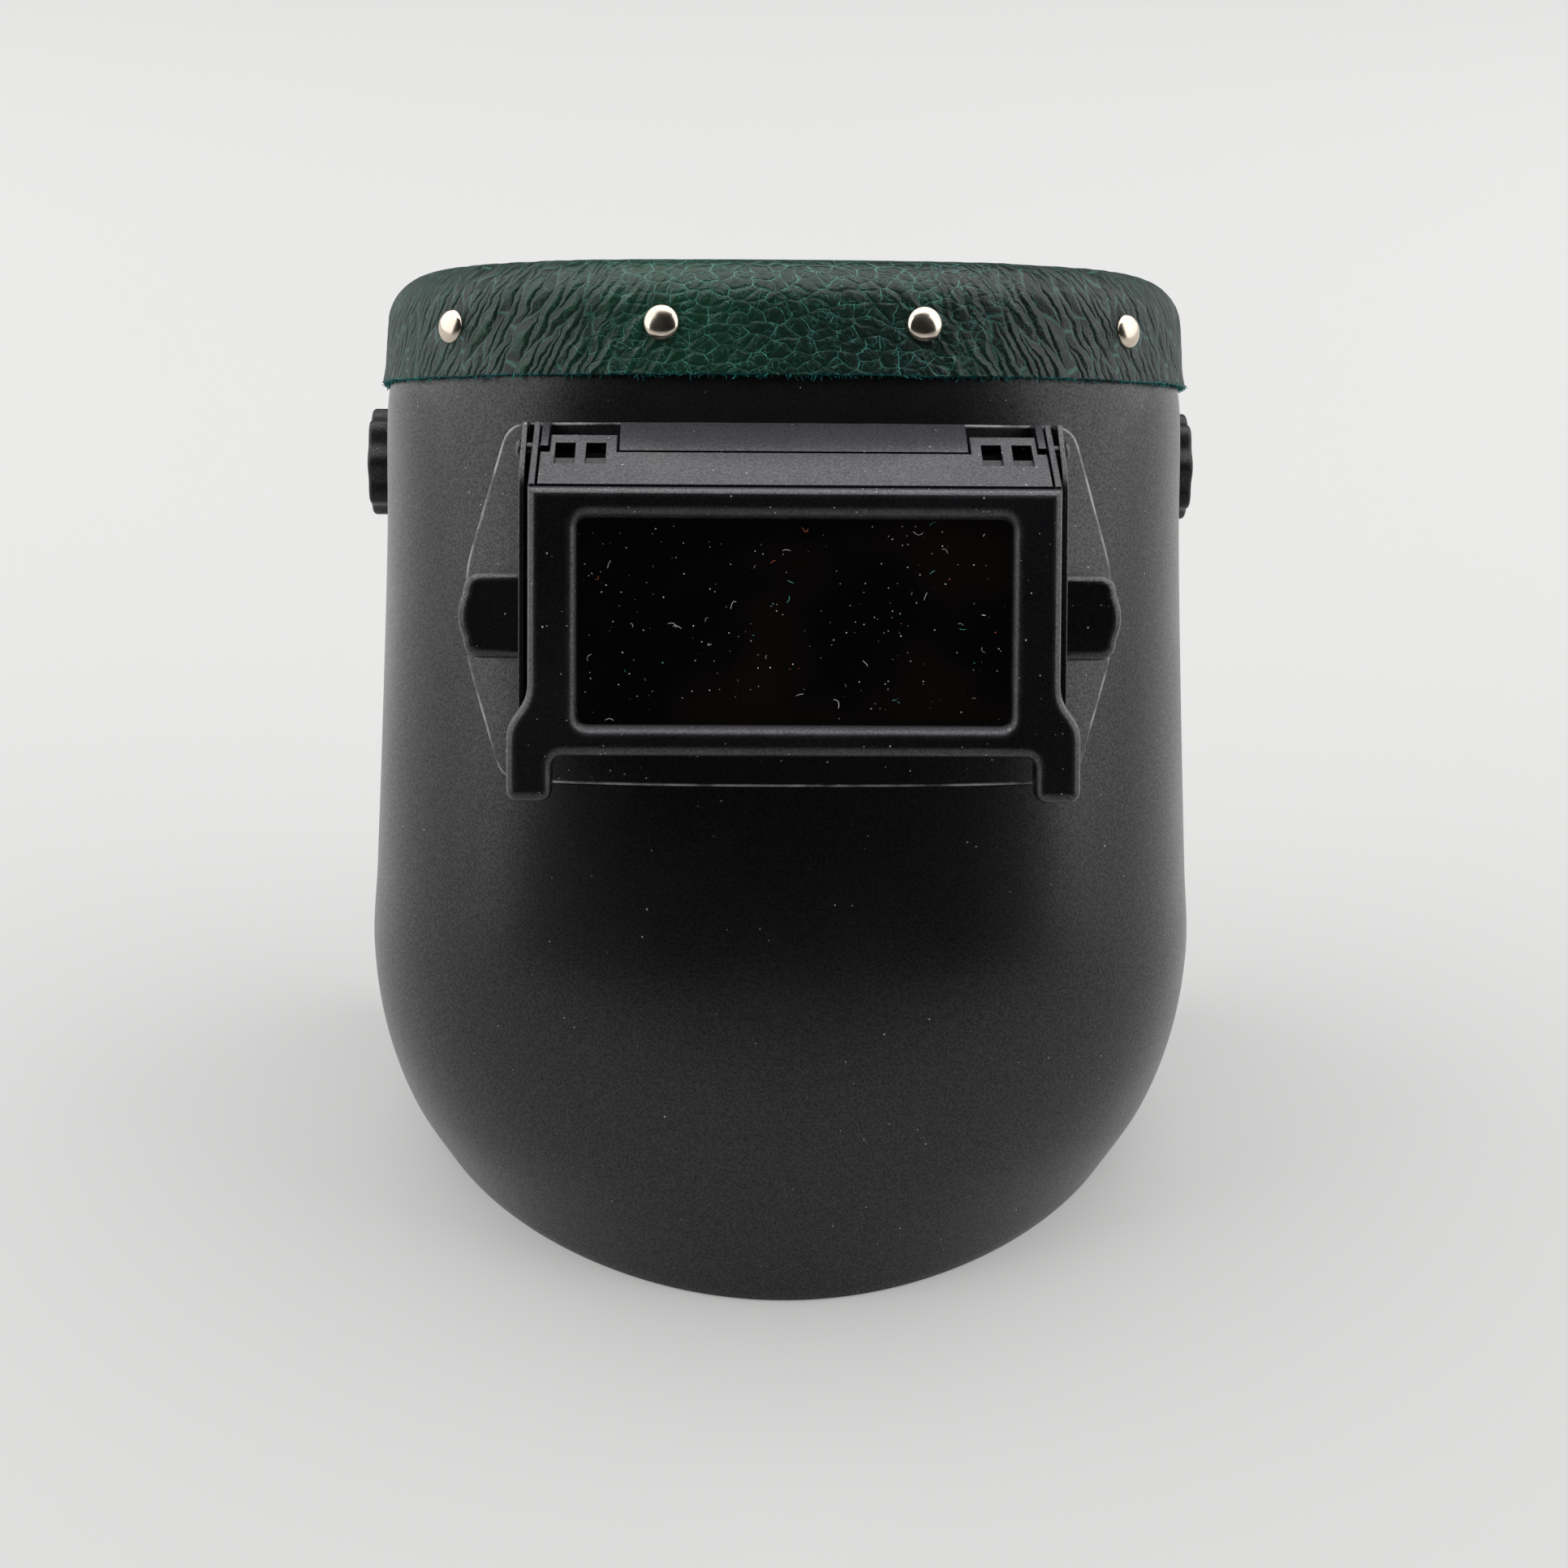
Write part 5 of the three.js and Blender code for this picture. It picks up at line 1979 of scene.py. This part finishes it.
    def ear(self, side: Side) -> None:
        """Adds one rounded ear beside the lift front.

        Args:
            side: Which side it is on.
        """
        shoulder = self.ear_outer - self.ear_bulge
        low, high, corner, steps = self.ear_low, self.ear_high, self.ear_corner, self.ear_steps
        loop = [(self.ear_inner, low), (shoulder - corner, low)]
        loop += bezier([loop[-1], (shoulder, low), (shoulder, low + corner)], steps)
        middle = (self.ear_outer + self.ear_bulge, (low + high) / 2)
        loop += bezier([loop[-1], middle, (shoulder, high - corner)], steps)
        loop += bezier([loop[-1], (shoulder, high), (shoulder - corner, high)], steps)
        loop.append((self.ear_inner, high))
        if side is Side.LEFT:
            loop = mirrored(loop)
        self.sketch.plate(loop, self.ear_front, self.buried, across_y, (), self.ear_round)

    def side_wall(self, side: Side) -> None:
        """Adds one side wall of the box round the lift front.

        Args:
            side: Which side it is on.
        """
        x = (self.wall_inner + self.wall_outer) / 2
        low, top, chamfer = self.wall_low, self.roof(), self.wall_chamfer
        loop = [(self.floor_front, low)]
        loop += [(self.buried(x, z), z) for z in np.linspace(low, top, self.wall_points)]
        loop += [(self.slope.rear, top), (self.wall_front + chamfer / 2, chamfer), (self.wall_front, 0.0)]
        loop += [(self.wall_front, low + chamfer)]
        ends = side.span(self.wall_inner, self.wall_outer)
        self.sketch.plate(loop, *ends, across_x, (), self.trim, self.trim)

    def lower_wall(self) -> None:
        """Adds the box's lower wall."""
        half, low = self.wall_outer - self.floor_lap, self.wall_low
        across = np.linspace(half, -half, self.floor_points)
        loop = [(across[-1], self.floor_front), (across[0], self.floor_front)]
        loop += [(x, self.buried(x, low)) for x in across]
        self.sketch.plate(loop, low + APART, low + self.floor_thickness, across_z, (), self.trim, self.trim)

    def roof_strip(self, front: float, ends: Sequence[float], rear: float) -> None:
        """Adds a strip of the sloping top.

        Args:
            front: The y of its front edge.
            ends: The x of its two ends.
            rear: The y where it meets the shell.
        """
        thickness, slope, top = self.bar_thickness, self.slope, self.roof()
        bend = slope.rear - thickness / 2
        foot = front + thickness / 2
        loop = [
            (foot, slope.height(foot) - thickness),
            (bend, slope.height(bend) - thickness),
            (rear, top - thickness),
            (rear, top),
            (slope.rear, top),
            (front, slope.height(front)),
        ]
        self.sketch.plate(loop, *ends, across_x, (), self.bar_trim, self.bar_trim)

    def lens_seat(self) -> None:
        """Adds the ledge behind the cover plate, the rim back to the shell and the plate's frame."""
        low, top, z = self.wall_low + self.ledge_lap, self.ledge_top, self.window.z
        outer = rectangle(self.ledge_half, low, top)
        sight = rectangle(self.sight_half, z - self.sight_reach, z + self.sight_reach, self.sight_corner)
        front, rear, trim = self.ledge_front, self.ledge_rear, self.trim
        self.sketch.plate(outer, front, rear, across_y, [sight], trim, trim)
        inset = INSIDE * APART
        rim = resampled(rectangle(self.ledge_half - inset, low + inset, top - inset), self.seat_points)
        self.sketch.plate(rim, rear - self.ledge_lap, self.buried, across_y, [self.opening.shape()])
        pocket = self.window.plate(self.plate_gap)
        frame_loop = self.window.plate(self.plate_gap + self.pocket_rim)
        end = front + self.pocket_lap
        self.sketch.plate(frame_loop, self.pocket_front, end, across_y, [pocket], trim)


@dataclass
class LiftFront:
    """The lift front: a face with cheeks and feet, and a tray with a sloping top behind it."""

    finishes: Finishes
    window: LensWindow
    slope: Slope
    half: float = 61.5
    top: float = 0.3
    bottom: float = -61.7
    thickness: float = 4.0
    edge: float = 2.5
    rear_edge: float = 0.4
    trim: float = 0.3
    lip: float = 3.1
    foot_outer: float = 66.3
    foot_inner: float = 55.9
    foot_bottom: float = -72.3
    flare_top: float = -45.0
    flare_end: float = -58.0
    flare_steps: int = 14
    foot_depth: float = 9.0
    foot_corner: float = 3.0
    foot_steps: int = 7
    foot_trim: float = 0.6
    foot_lap: float = 1.0
    sill_depth: float = 12.0
    sill_height: float = 1.6
    cheek_inner: float = 59.9
    cheek_depth: float = 19.5
    cheek_shoulder: float = -3.0
    boss_low: Point = (27.0, 4.6)
    boss_rear: Point = (30.0, 9.1)
    boss_top: Point = (29.4, 14.2)
    tray_half: float = 59.4
    tray_front: float = 4.4
    tray_lip: float = 2.9
    tray_seat: float = 7.6
    tray_web: float = 9.6
    tray_back: float = 19.0
    tray_shoulder: float = -2.0
    tray_bottom: float = -58.5
    tray_skin: float = 2.0
    lip_heights: Pair = (0.62, 0.9)
    lip_reach: float = 1.5
    lip_trim: float = 0.1
    lap: float = 0.4
    plate_gap: float = 0.3
    seam: float = 15.3
    tab_inner: float = 41.5
    tab_outer: float = 57.2
    tab_end: float = 22.0
    tab_trim: Pair = (0.2, 0.25)
    hole_starts: tuple[float, ...] = (44.1, 51.3)
    hole_width: float = 4.6
    hole_front: float = 10.8
    hole_step: float = 14.9
    hole_rear: float = 18.8
    hole_ledge: float = 1.5
    hole_lap: float = 0.3
    ledge_depth: float = 0.6
    tab_thickness: float = 3.0
    hinge: Point = (24.0, 9.1)
    pin_radius: float = 1.6
    pin_head: float = 2.5
    pin_inner: float = 59.0
    pin_seat: float = 64.7
    pin_height: float = 1.1
    pin_steps: int = 6
    pin_faces: int = 40

    def build(self) -> None:
        """Makes the frame, the tray and the hinge pins."""
        pieces = [(self.frame(), "lift_frame"), (self.tray(), "lift_tray")]
        for side in Side:
            name = side.name.lower()
            pieces.append((self.pin().finish(f"pivot_pin_{name}", side is Side.LEFT), f"hinge_pin_{name}"))
        for obj, node in pieces:
            dress(obj, Body.LIFT_FRONT, Slot.HOLDER, self.finishes["holder"], node)

    def face_loop(self) -> list[Point]:
        """Draws the face with its flared feet.

        Returns:
            The outline, counter-clockwise.
        """
        flare = (self.flare_top + self.flare_end) / 2
        outer, inner, toe = self.foot_outer, self.foot_inner, self.foot_bottom
        corner, steps = self.foot_corner, self.foot_steps
        edge = [(inner - corner, self.bottom)]
        edge += bezier([edge[-1], (inner, self.bottom), (inner, self.bottom - corner)], steps)
        edge.append((inner, toe + corner))
        edge += bezier([edge[-1], (inner, toe), (inner + corner, toe)], steps)
        edge.append((outer - corner, toe))
        edge += bezier([edge[-1], (outer, toe), (outer, toe + corner)], steps)
        edge.append((outer, self.flare_end))
        bend = [edge[-1], (outer, flare), (self.half, flare), (self.half, self.flare_top)]
        edge += bezier(bend, self.flare_steps)
        edge.append((self.half, self.top))
        return edge + mirrored(edge)

    def frame(self) -> Piece:
        """Makes the face with its window, feet, cheeks and sill.

        Returns:
            The piece.
        """
        sketch = Sketch()
        slope, trim, near = self.slope, self.trim, 2 * APART
        window = [self.window.shape()]
        sketch.plate(
            self.face_loop(), 0.0, self.thickness, across_y, window, self.edge, self.rear_edge, self.lip
        )
        edge, low = self.edge + trim, self.bottom + trim
        across = (self.foot_inner + near, self.foot_outer - near)
        up = (self.foot_bottom + near, self.flare_end - self.foot_lap)
        foot = rounded_loop(four_corners(across, up), self.foot_corner)
        cheek = [
            (edge, low),
            (self.sill_depth, low),
            (self.cheek_depth, self.flare_top),
            (self.cheek_depth, self.cheek_shoulder),
            self.boss_low,
            self.boss_rear,
            self.boss_top,
            (slope.rear, slope.height(slope.rear)),
            (edge, slope.height(edge)),
        ]
        for side in Side:
            loop = mirrored(foot) if side is Side.LEFT else foot
            start = self.edge + self.rear_edge
            sketch.plate(loop, start, self.foot_depth, across_y, (), 0.0, self.foot_trim)
            ends = side.span(self.cheek_inner, self.half - near)
            sketch.plate(cheek, *ends, across_x, (), trim, trim)
        wide = self.half - 2 * near
        sill = (self.bottom + near, self.bottom + self.sill_height)
        sketch.box((-wide, wide), (edge, self.sill_depth), sill)
        return sketch.finish("lift_face")

    def tray(self) -> Piece:
        """Makes the tray with its sloping top, tabs, walls and lens seat.

        Returns:
            The piece.
        """
        sketch = Sketch()
        self.sloping_top(sketch)
        slope, half, skin, trim = self.slope, self.tray_half, self.tray_skin, self.trim
        front, back, low = self.tray_front, self.tray_back, self.tray_bottom
        reach = self.window.plate_reach + self.plate_gap
        plate_low, plate_top = self.window.z - reach, self.window.z + reach
        sunk = self.hole_ledge + self.ledge_depth
        head = [
            (front, plate_top),
            (back, plate_top),
            (back, self.tray_shoulder),
            (self.seam + skin, self.tray_shoulder + skin),
            (self.seam, slope.height(self.seam) - sunk),
            (front, slope.height(front) - sunk),
        ]
        wide = half - INSIDE * APART
        sketch.plate(head, -wide, wide, across_x, (), trim, trim)
        (foot, nose), end = self.lip_heights, front + self.lip_reach
        lip = [(self.tray_lip, foot), (end, foot), (end, slope.height(front)), (self.tray_lip, nose)]
        sketch.plate(lip, APART - half, half - APART, across_x, (), self.lip_trim, self.lip_trim)
        for side in Side:
            walls = (low, plate_top + self.lap + 5 * APART)
            sketch.box(side.span(half - skin, half), (front, back), walls)
        wide = half - 5 * APART
        sketch.box((-wide, wide), (front, back - INSIDE * APART), (low + APART, low + skin))
        seat = rectangle(half - skin + self.lap, low + self.lap + 5 * APART, plate_top + self.lap)
        pocket = rectangle(self.window.plate_half + self.plate_gap, plate_low, plate_top)
        start, end = front + INSIDE * APART, self.tray_seat + self.lap / 2
        sketch.plate(seat, start, end, across_y, [pocket])
        sketch.plate(seat, self.tray_seat, self.tray_web, across_y, [self.window.shape(skin)], trim, trim)
        return sketch.finish("lift_inner_tray")

    def sloping_top(self, sketch: Sketch) -> None:
        """Adds the sloping top plate with its hinge tabs and their stepped square holes.

        Args:
            sketch: The tray's sketch.
        """
        run, half, lap = self.slope.run, self.tray_half, self.hole_lap
        start, seam, end = run(self.tray_lip), run(self.seam), run(self.tab_end)
        tab = [(self.tab_outer, seam), (self.tab_outer, end), (self.tab_inner, end), (self.tab_inner, seam)]
        right = [(half, start), (half, seam), *tab]
        low, step, high = run(self.hole_front), run(self.hole_step), run(self.hole_rear)
        holes = []
        for x in self.hole_starts:
            for side in Side:
                ends = side.span(x, x + self.hole_width)
                holes.append(four_corners(ends, (low, high)))
                ledge = four_corners((ends[0] - lap, ends[1] + lap), (low - lap, step))
                floor = self.lip_trim - self.tab_thickness
                # The ledges in the square holes are darkened with painted shade.
                sketch.plate(ledge, floor, -self.hole_ledge, self.slope.place, painted_recess_shade=True)
        loop = [*right, *mirrored(right)]
        sketch.plate(loop, -self.tab_thickness, 0.0, self.slope.place, holes, *self.tab_trim)

    def pin(self) -> Sketch:
        """Draws the right-hand hinge pin.

        Returns:
            Its sketch.
        """
        inner, seat = self.pin_inner, self.pin_seat
        profile = [(inner, 0), (inner, self.pin_radius), (seat, self.pin_radius)]
        for sine, cosine in quarter_turn(self.pin_steps):
            profile.append((seat + self.pin_height * sine, self.pin_head * cosine))
        sketch = Sketch()
        sketch.turned(profile, self.hinge, self.pin_faces)
        return sketch


@dataclass
class LensPlates:
    """The dark filter plate in the lift front, its lint, and the clear cover plate behind."""

    finishes: Finishes
    window: LensWindow
    dark_rear: float = 7.3
    clear_rear: float = 25.9
    edge: float = 0.25
    specks: float = 26000.0
    hairs: float = 13000.0
    speck_size: float = 0.13
    hair_length: float = 2.0
    lint_gap: float = 0.06
    lint_margin: float = 1.0
    seed: int = 4

    def build(self) -> None:
        """Makes both plates and the lint on the dark one."""
        dark = self.plate("filter_plate", self.dark_rear)
        dress(dark, Body.LIFT_FRONT, Slot.DARK_GLASS, self.finishes["dark"], "dark_lens")
        clear = self.plate("cover_plate", self.clear_rear)
        dress(clear, Body.HOOD, Slot.CLEAR, self.finishes["clear"], "clear_lens")
        self.lint()

    def lint(self) -> None:
        """Makes the specks and lint on the dark plate."""
        y = self.dark_rear - self.window.thickness - self.lint_gap
        half, reach = self.window.half - self.lint_margin, self.window.reach - self.lint_margin
        corners = four_corners((-half, half), (self.window.z - reach, self.window.z + reach))
        data = bpy.data.meshes.new("lint_field")
        data.from_pydata([UPRIGHT.point(x, y, z) for x, z in corners], [], [(0, 1, 2, 3)])
        obj = new_object("filter_lint", data)
        values = {
            "Specks": self.specks,
            "Hairs": self.hairs,
            "Speck size": self.speck_size * MM,
            "Hair length": self.hair_length * MM,
            "Seed": self.seed,
        }
        grow(obj, lint_tree(self.finishes["lint"]), values)
        dress(obj, Body.LIFT_FRONT, Slot.DARK_GLASS, self.finishes["lint"])

    def plate(self, name: str, rear: float) -> Piece:
        """Makes one plate with ground edges.

        Args:
            name: The piece's name.
            rear: The y of its rear face.

        Returns:
            The piece.
        """
        sketch = Sketch()
        front = rear - self.window.thickness
        sketch.plate(self.window.plate(), front, rear, across_y, (), self.edge, self.edge)
        return sketch.finish(name)


@dataclass
class TensionKnob:
    """A fluted tension knob on a plain stud."""

    finishes: Finishes
    side: Side
    radius: float = 14.8
    inner: float = 106.9
    outer: float = 114.3
    edge: float = 1.2
    edge_steps: int = 5
    bore: float = 3.3
    bore_depth: float = 4.6
    dish_radius: float = 8.6
    dish_depth: float = 0.9
    dish_slope: float = 1.1
    lobes: int = 8
    lobe_faces: int = 24
    flute_depth: float = 1.5
    flute_reach: float = 4.5
    sharpness: float = 2.2
    smooth: float = 40.0
    stud_radius: float = 3.0
    stud: Pair = (90.0, 111.2)
    stud_chamfers: Pair = (0.5, 0.4)
    washer_radius: float = 9.0
    washer: Pair = (101.0, 103.0)
    washer_chamfers: Pair = (0.3, 0.3)

    def build(self) -> None:
        """Makes the knob and its stud."""
        name = self.side.name.lower()
        left = self.side is Side.LEFT
        knob = self.knob().finish(f"tension_knob_{name}", left)
        values = {
            "Centre": UPRIGHT.point(0, *UPRIGHT.pivot),
            "Lobes": float(self.lobes),
            "Depth": self.flute_depth * MM,
            "Sharpness": self.sharpness,
            "Inner radius": (self.radius - self.flute_reach) * MM,
        }
        grow(knob, flute_tree(self.finishes["knob"]), values)
        knob.data.set_sharp_from_angle(angle=math.radians(self.smooth))
        body = Body.LEFT_KNOB if left else Body.RIGHT_KNOB
        dress(knob, body, Slot.KNOB, self.finishes["knob"], f"knob_{name}")
        sketch = Sketch()
        sketch.turned(self.rod(self.stud, self.stud_radius, self.stud_chamfers), UPRIGHT.pivot)
        sketch.turned(self.rod(self.washer, self.washer_radius, self.washer_chamfers), UPRIGHT.pivot)
        stud = sketch.finish(f"pivot_stud_{name}", left)
        dress(stud, Body.HOOD, Slot.STEEL, self.finishes["steel"], f"stud_{name}")

    def knob(self) -> Sketch:
        """Draws the right-hand knob before its flutes.

        Returns:
            Its sketch.
        """
        floor, dish = self.inner + self.bore_depth, self.outer - self.dish_depth
        profile = [(floor, 0), (floor, self.bore), (self.inner, self.bore)]
        profile += self.rounded(self.inner, 1)
        profile += self.rounded(self.outer, -1)[::-1]
        profile += [(self.outer, self.dish_radius + self.dish_slope), (dish, self.dish_radius), (dish, 0)]
        sketch = Sketch()
        sketch.turned(profile, UPRIGHT.pivot, self.lobes * self.lobe_faces)
        return sketch

    def rounded(self, x: float, way: int) -> list[Point]:
        """Draws a rounded edge of the knob from its end face to its rim.

        Args:
            x: Where the end face is.
            way: 1 if the knob lies outward of it, or -1.

        Returns:
            Pairs of x and radius.
        """
        turns = quarter_turn(self.edge_steps)
        low = self.radius - self.edge
        return [(x + way * self.edge * (1 - cosine), low + self.edge * sine) for sine, cosine in turns]

    @staticmethod
    def rod(ends: Pair, radius: float, chamfers: Pair) -> list[Point]:
        """Draws a round rod with chamfered ends.

        Args:
            ends: The x of both ends.
            radius: Its radius.
            chamfers: The chamfer of each end.

        Returns:
            Pairs of x and radius.
        """
        (low, high), (first, last) = ends, chamfers
        start = [(low, 0), (low, radius - first), (low + first, radius)]
        return start + [(high - last, radius), (high, radius - last), (high, 0)]


# Studio.


@dataclass(frozen=True)
class Softbox:
    """A large soft light, with its width and height and its power in watts."""

    name: str
    place: Place
    target: Place
    size: Pair
    power: float

    def build(self) -> None:
        """Hangs the light."""
        light = bpy.data.lights.new(self.name, "AREA")
        light.shape = "RECTANGLE"
        light.size, light.size_y = self.size
        light.energy = self.power
        obj = bpy.data.objects.new(self.name, light)
        way = Vector(self.target) - Vector(self.place)
        obj.location = self.place
        obj.rotation_euler = way.to_track_quat("-Z", "Y").to_euler()
        bpy.context.scene.collection.objects.link(obj)


@dataclass
class Studio:
    """A pale floor, soft lights and the camera."""

    floor_half: float = 6.0
    floor_tone: Colour = (0.33, 0.33, 0.327)
    floor_shade: float = 0.97
    glow_tone: Colour = (1.0, 1.0, 0.99)
    floor_glow: float = 0.29
    surround: float = 0.02
    softboxes: tuple[Softbox, ...] = (
        Softbox("overhead", (0.0, 1.0, 2.6), (0.0, 0.85, 0.0), (3.4, 3.6), 88.0),
        Softbox("left panel", (-1.25, 0.3, 0.95), (0.0, 0.3, 0.5), (2.4, 1.8), 27.0),
        Softbox("right panel", (1.25, 0.3, 0.95), (0.0, 0.3, 0.5), (2.4, 1.8), 27.0),
    )
    eye: Place = (-19.0, -650.0, 0.0)
    aim: Place = (0.0253, 1.0, -0.0482)
    focal_pixels: float = 3495.0
    shift_y: float = -0.101
    roll: float = 1.0
    sensor: float = 36.0
    clip: Pair = (0.01, 50.0)

    def build(self) -> None:
        """Makes the floor, the world, the lights and the camera."""
        self.floor()
        world = bpy.data.worlds.new("surround")
        world.use_nodes = True
        background = world.node_tree.nodes["Background"]
        background.inputs["Color"].default_value = (self.surround, self.surround, self.surround, 1.0)
        bpy.context.scene.world = world
        for box in self.softboxes:
            box.build()
        self.camera()
        bpy.context.scene.view_settings.view_transform = "Standard"

    def floor(self) -> None:
        """Makes the pale floor."""
        span = (-self.floor_half, self.floor_half)
        data = bpy.data.meshes.new("floor")
        data.from_pydata([(x, y, 0) for x, y in four_corners(span, span)], [], [(0, 1, 2, 3)])
        floor = bpy.data.objects.new("floor", data)
        bpy.context.scene.collection.objects.link(floor)
        material, sheet, shader = new_material("pale_floor")
        cloud = sheet.noise(sheet.place(), 2.0, 2.0)
        colour = sheet.mix(cloud, self.floor_tone, scaled(self.floor_tone, self.floor_shade))
        inputs = {
            "Base Color": colour,
            "Roughness": sheet.ramp(cloud, 0.0, 1.0, 0.85, 0.95),
            "Emission Color": rgba(self.glow_tone),
            "Emission Strength": self.floor_glow,
        }
        sheet.fill(shader, inputs)
        data.materials.append(material)

    def camera(self) -> None:
        """Sets the camera where the photograph was taken from."""
        data = bpy.data.cameras.new("camera")
        data.sensor_width = self.sensor
        data.lens = self.focal_pixels / PHOTO_PIXELS * self.sensor
        data.shift_y = self.shift_y
        data.clip_start, data.clip_end = self.clip
        camera = bpy.data.objects.new("camera", data)
        way = UPRIGHT.matrix().to_3x3() @ Vector(self.aim)
        turn = way.to_track_quat("-Z", "Y").to_matrix().to_4x4()
        turn = turn @ Matrix.Rotation(math.radians(self.roll), 4, "Z")
        camera.matrix_world = Matrix.Translation(UPRIGHT.point(*self.eye)) @ turn
        bpy.context.scene.collection.objects.link(camera)
        bpy.context.scene.camera = camera


def main() -> None:
    """Builds the studio and every piece of the hood."""
    logging.basicConfig(level=logging.INFO, format="%(name)s: %(message)s")
    Studio().build()
    finishes = Finishes()
    form, opening, window, slope = ShellForm(), ShellOpening(), LensWindow(), Slope()
    Shell(finishes, form, opening).build()
    LeatherCover(finishes, form).build()
    RivetRow(finishes, form).build()
    FixedHolder(finishes, form, opening, window, slope).build()
    LiftFront(finishes, window, slope).build()
    LensPlates(finishes, window).build()
    for side in Side:
        TensionKnob(finishes, side).build()


if __name__ == "__main__":
    main()
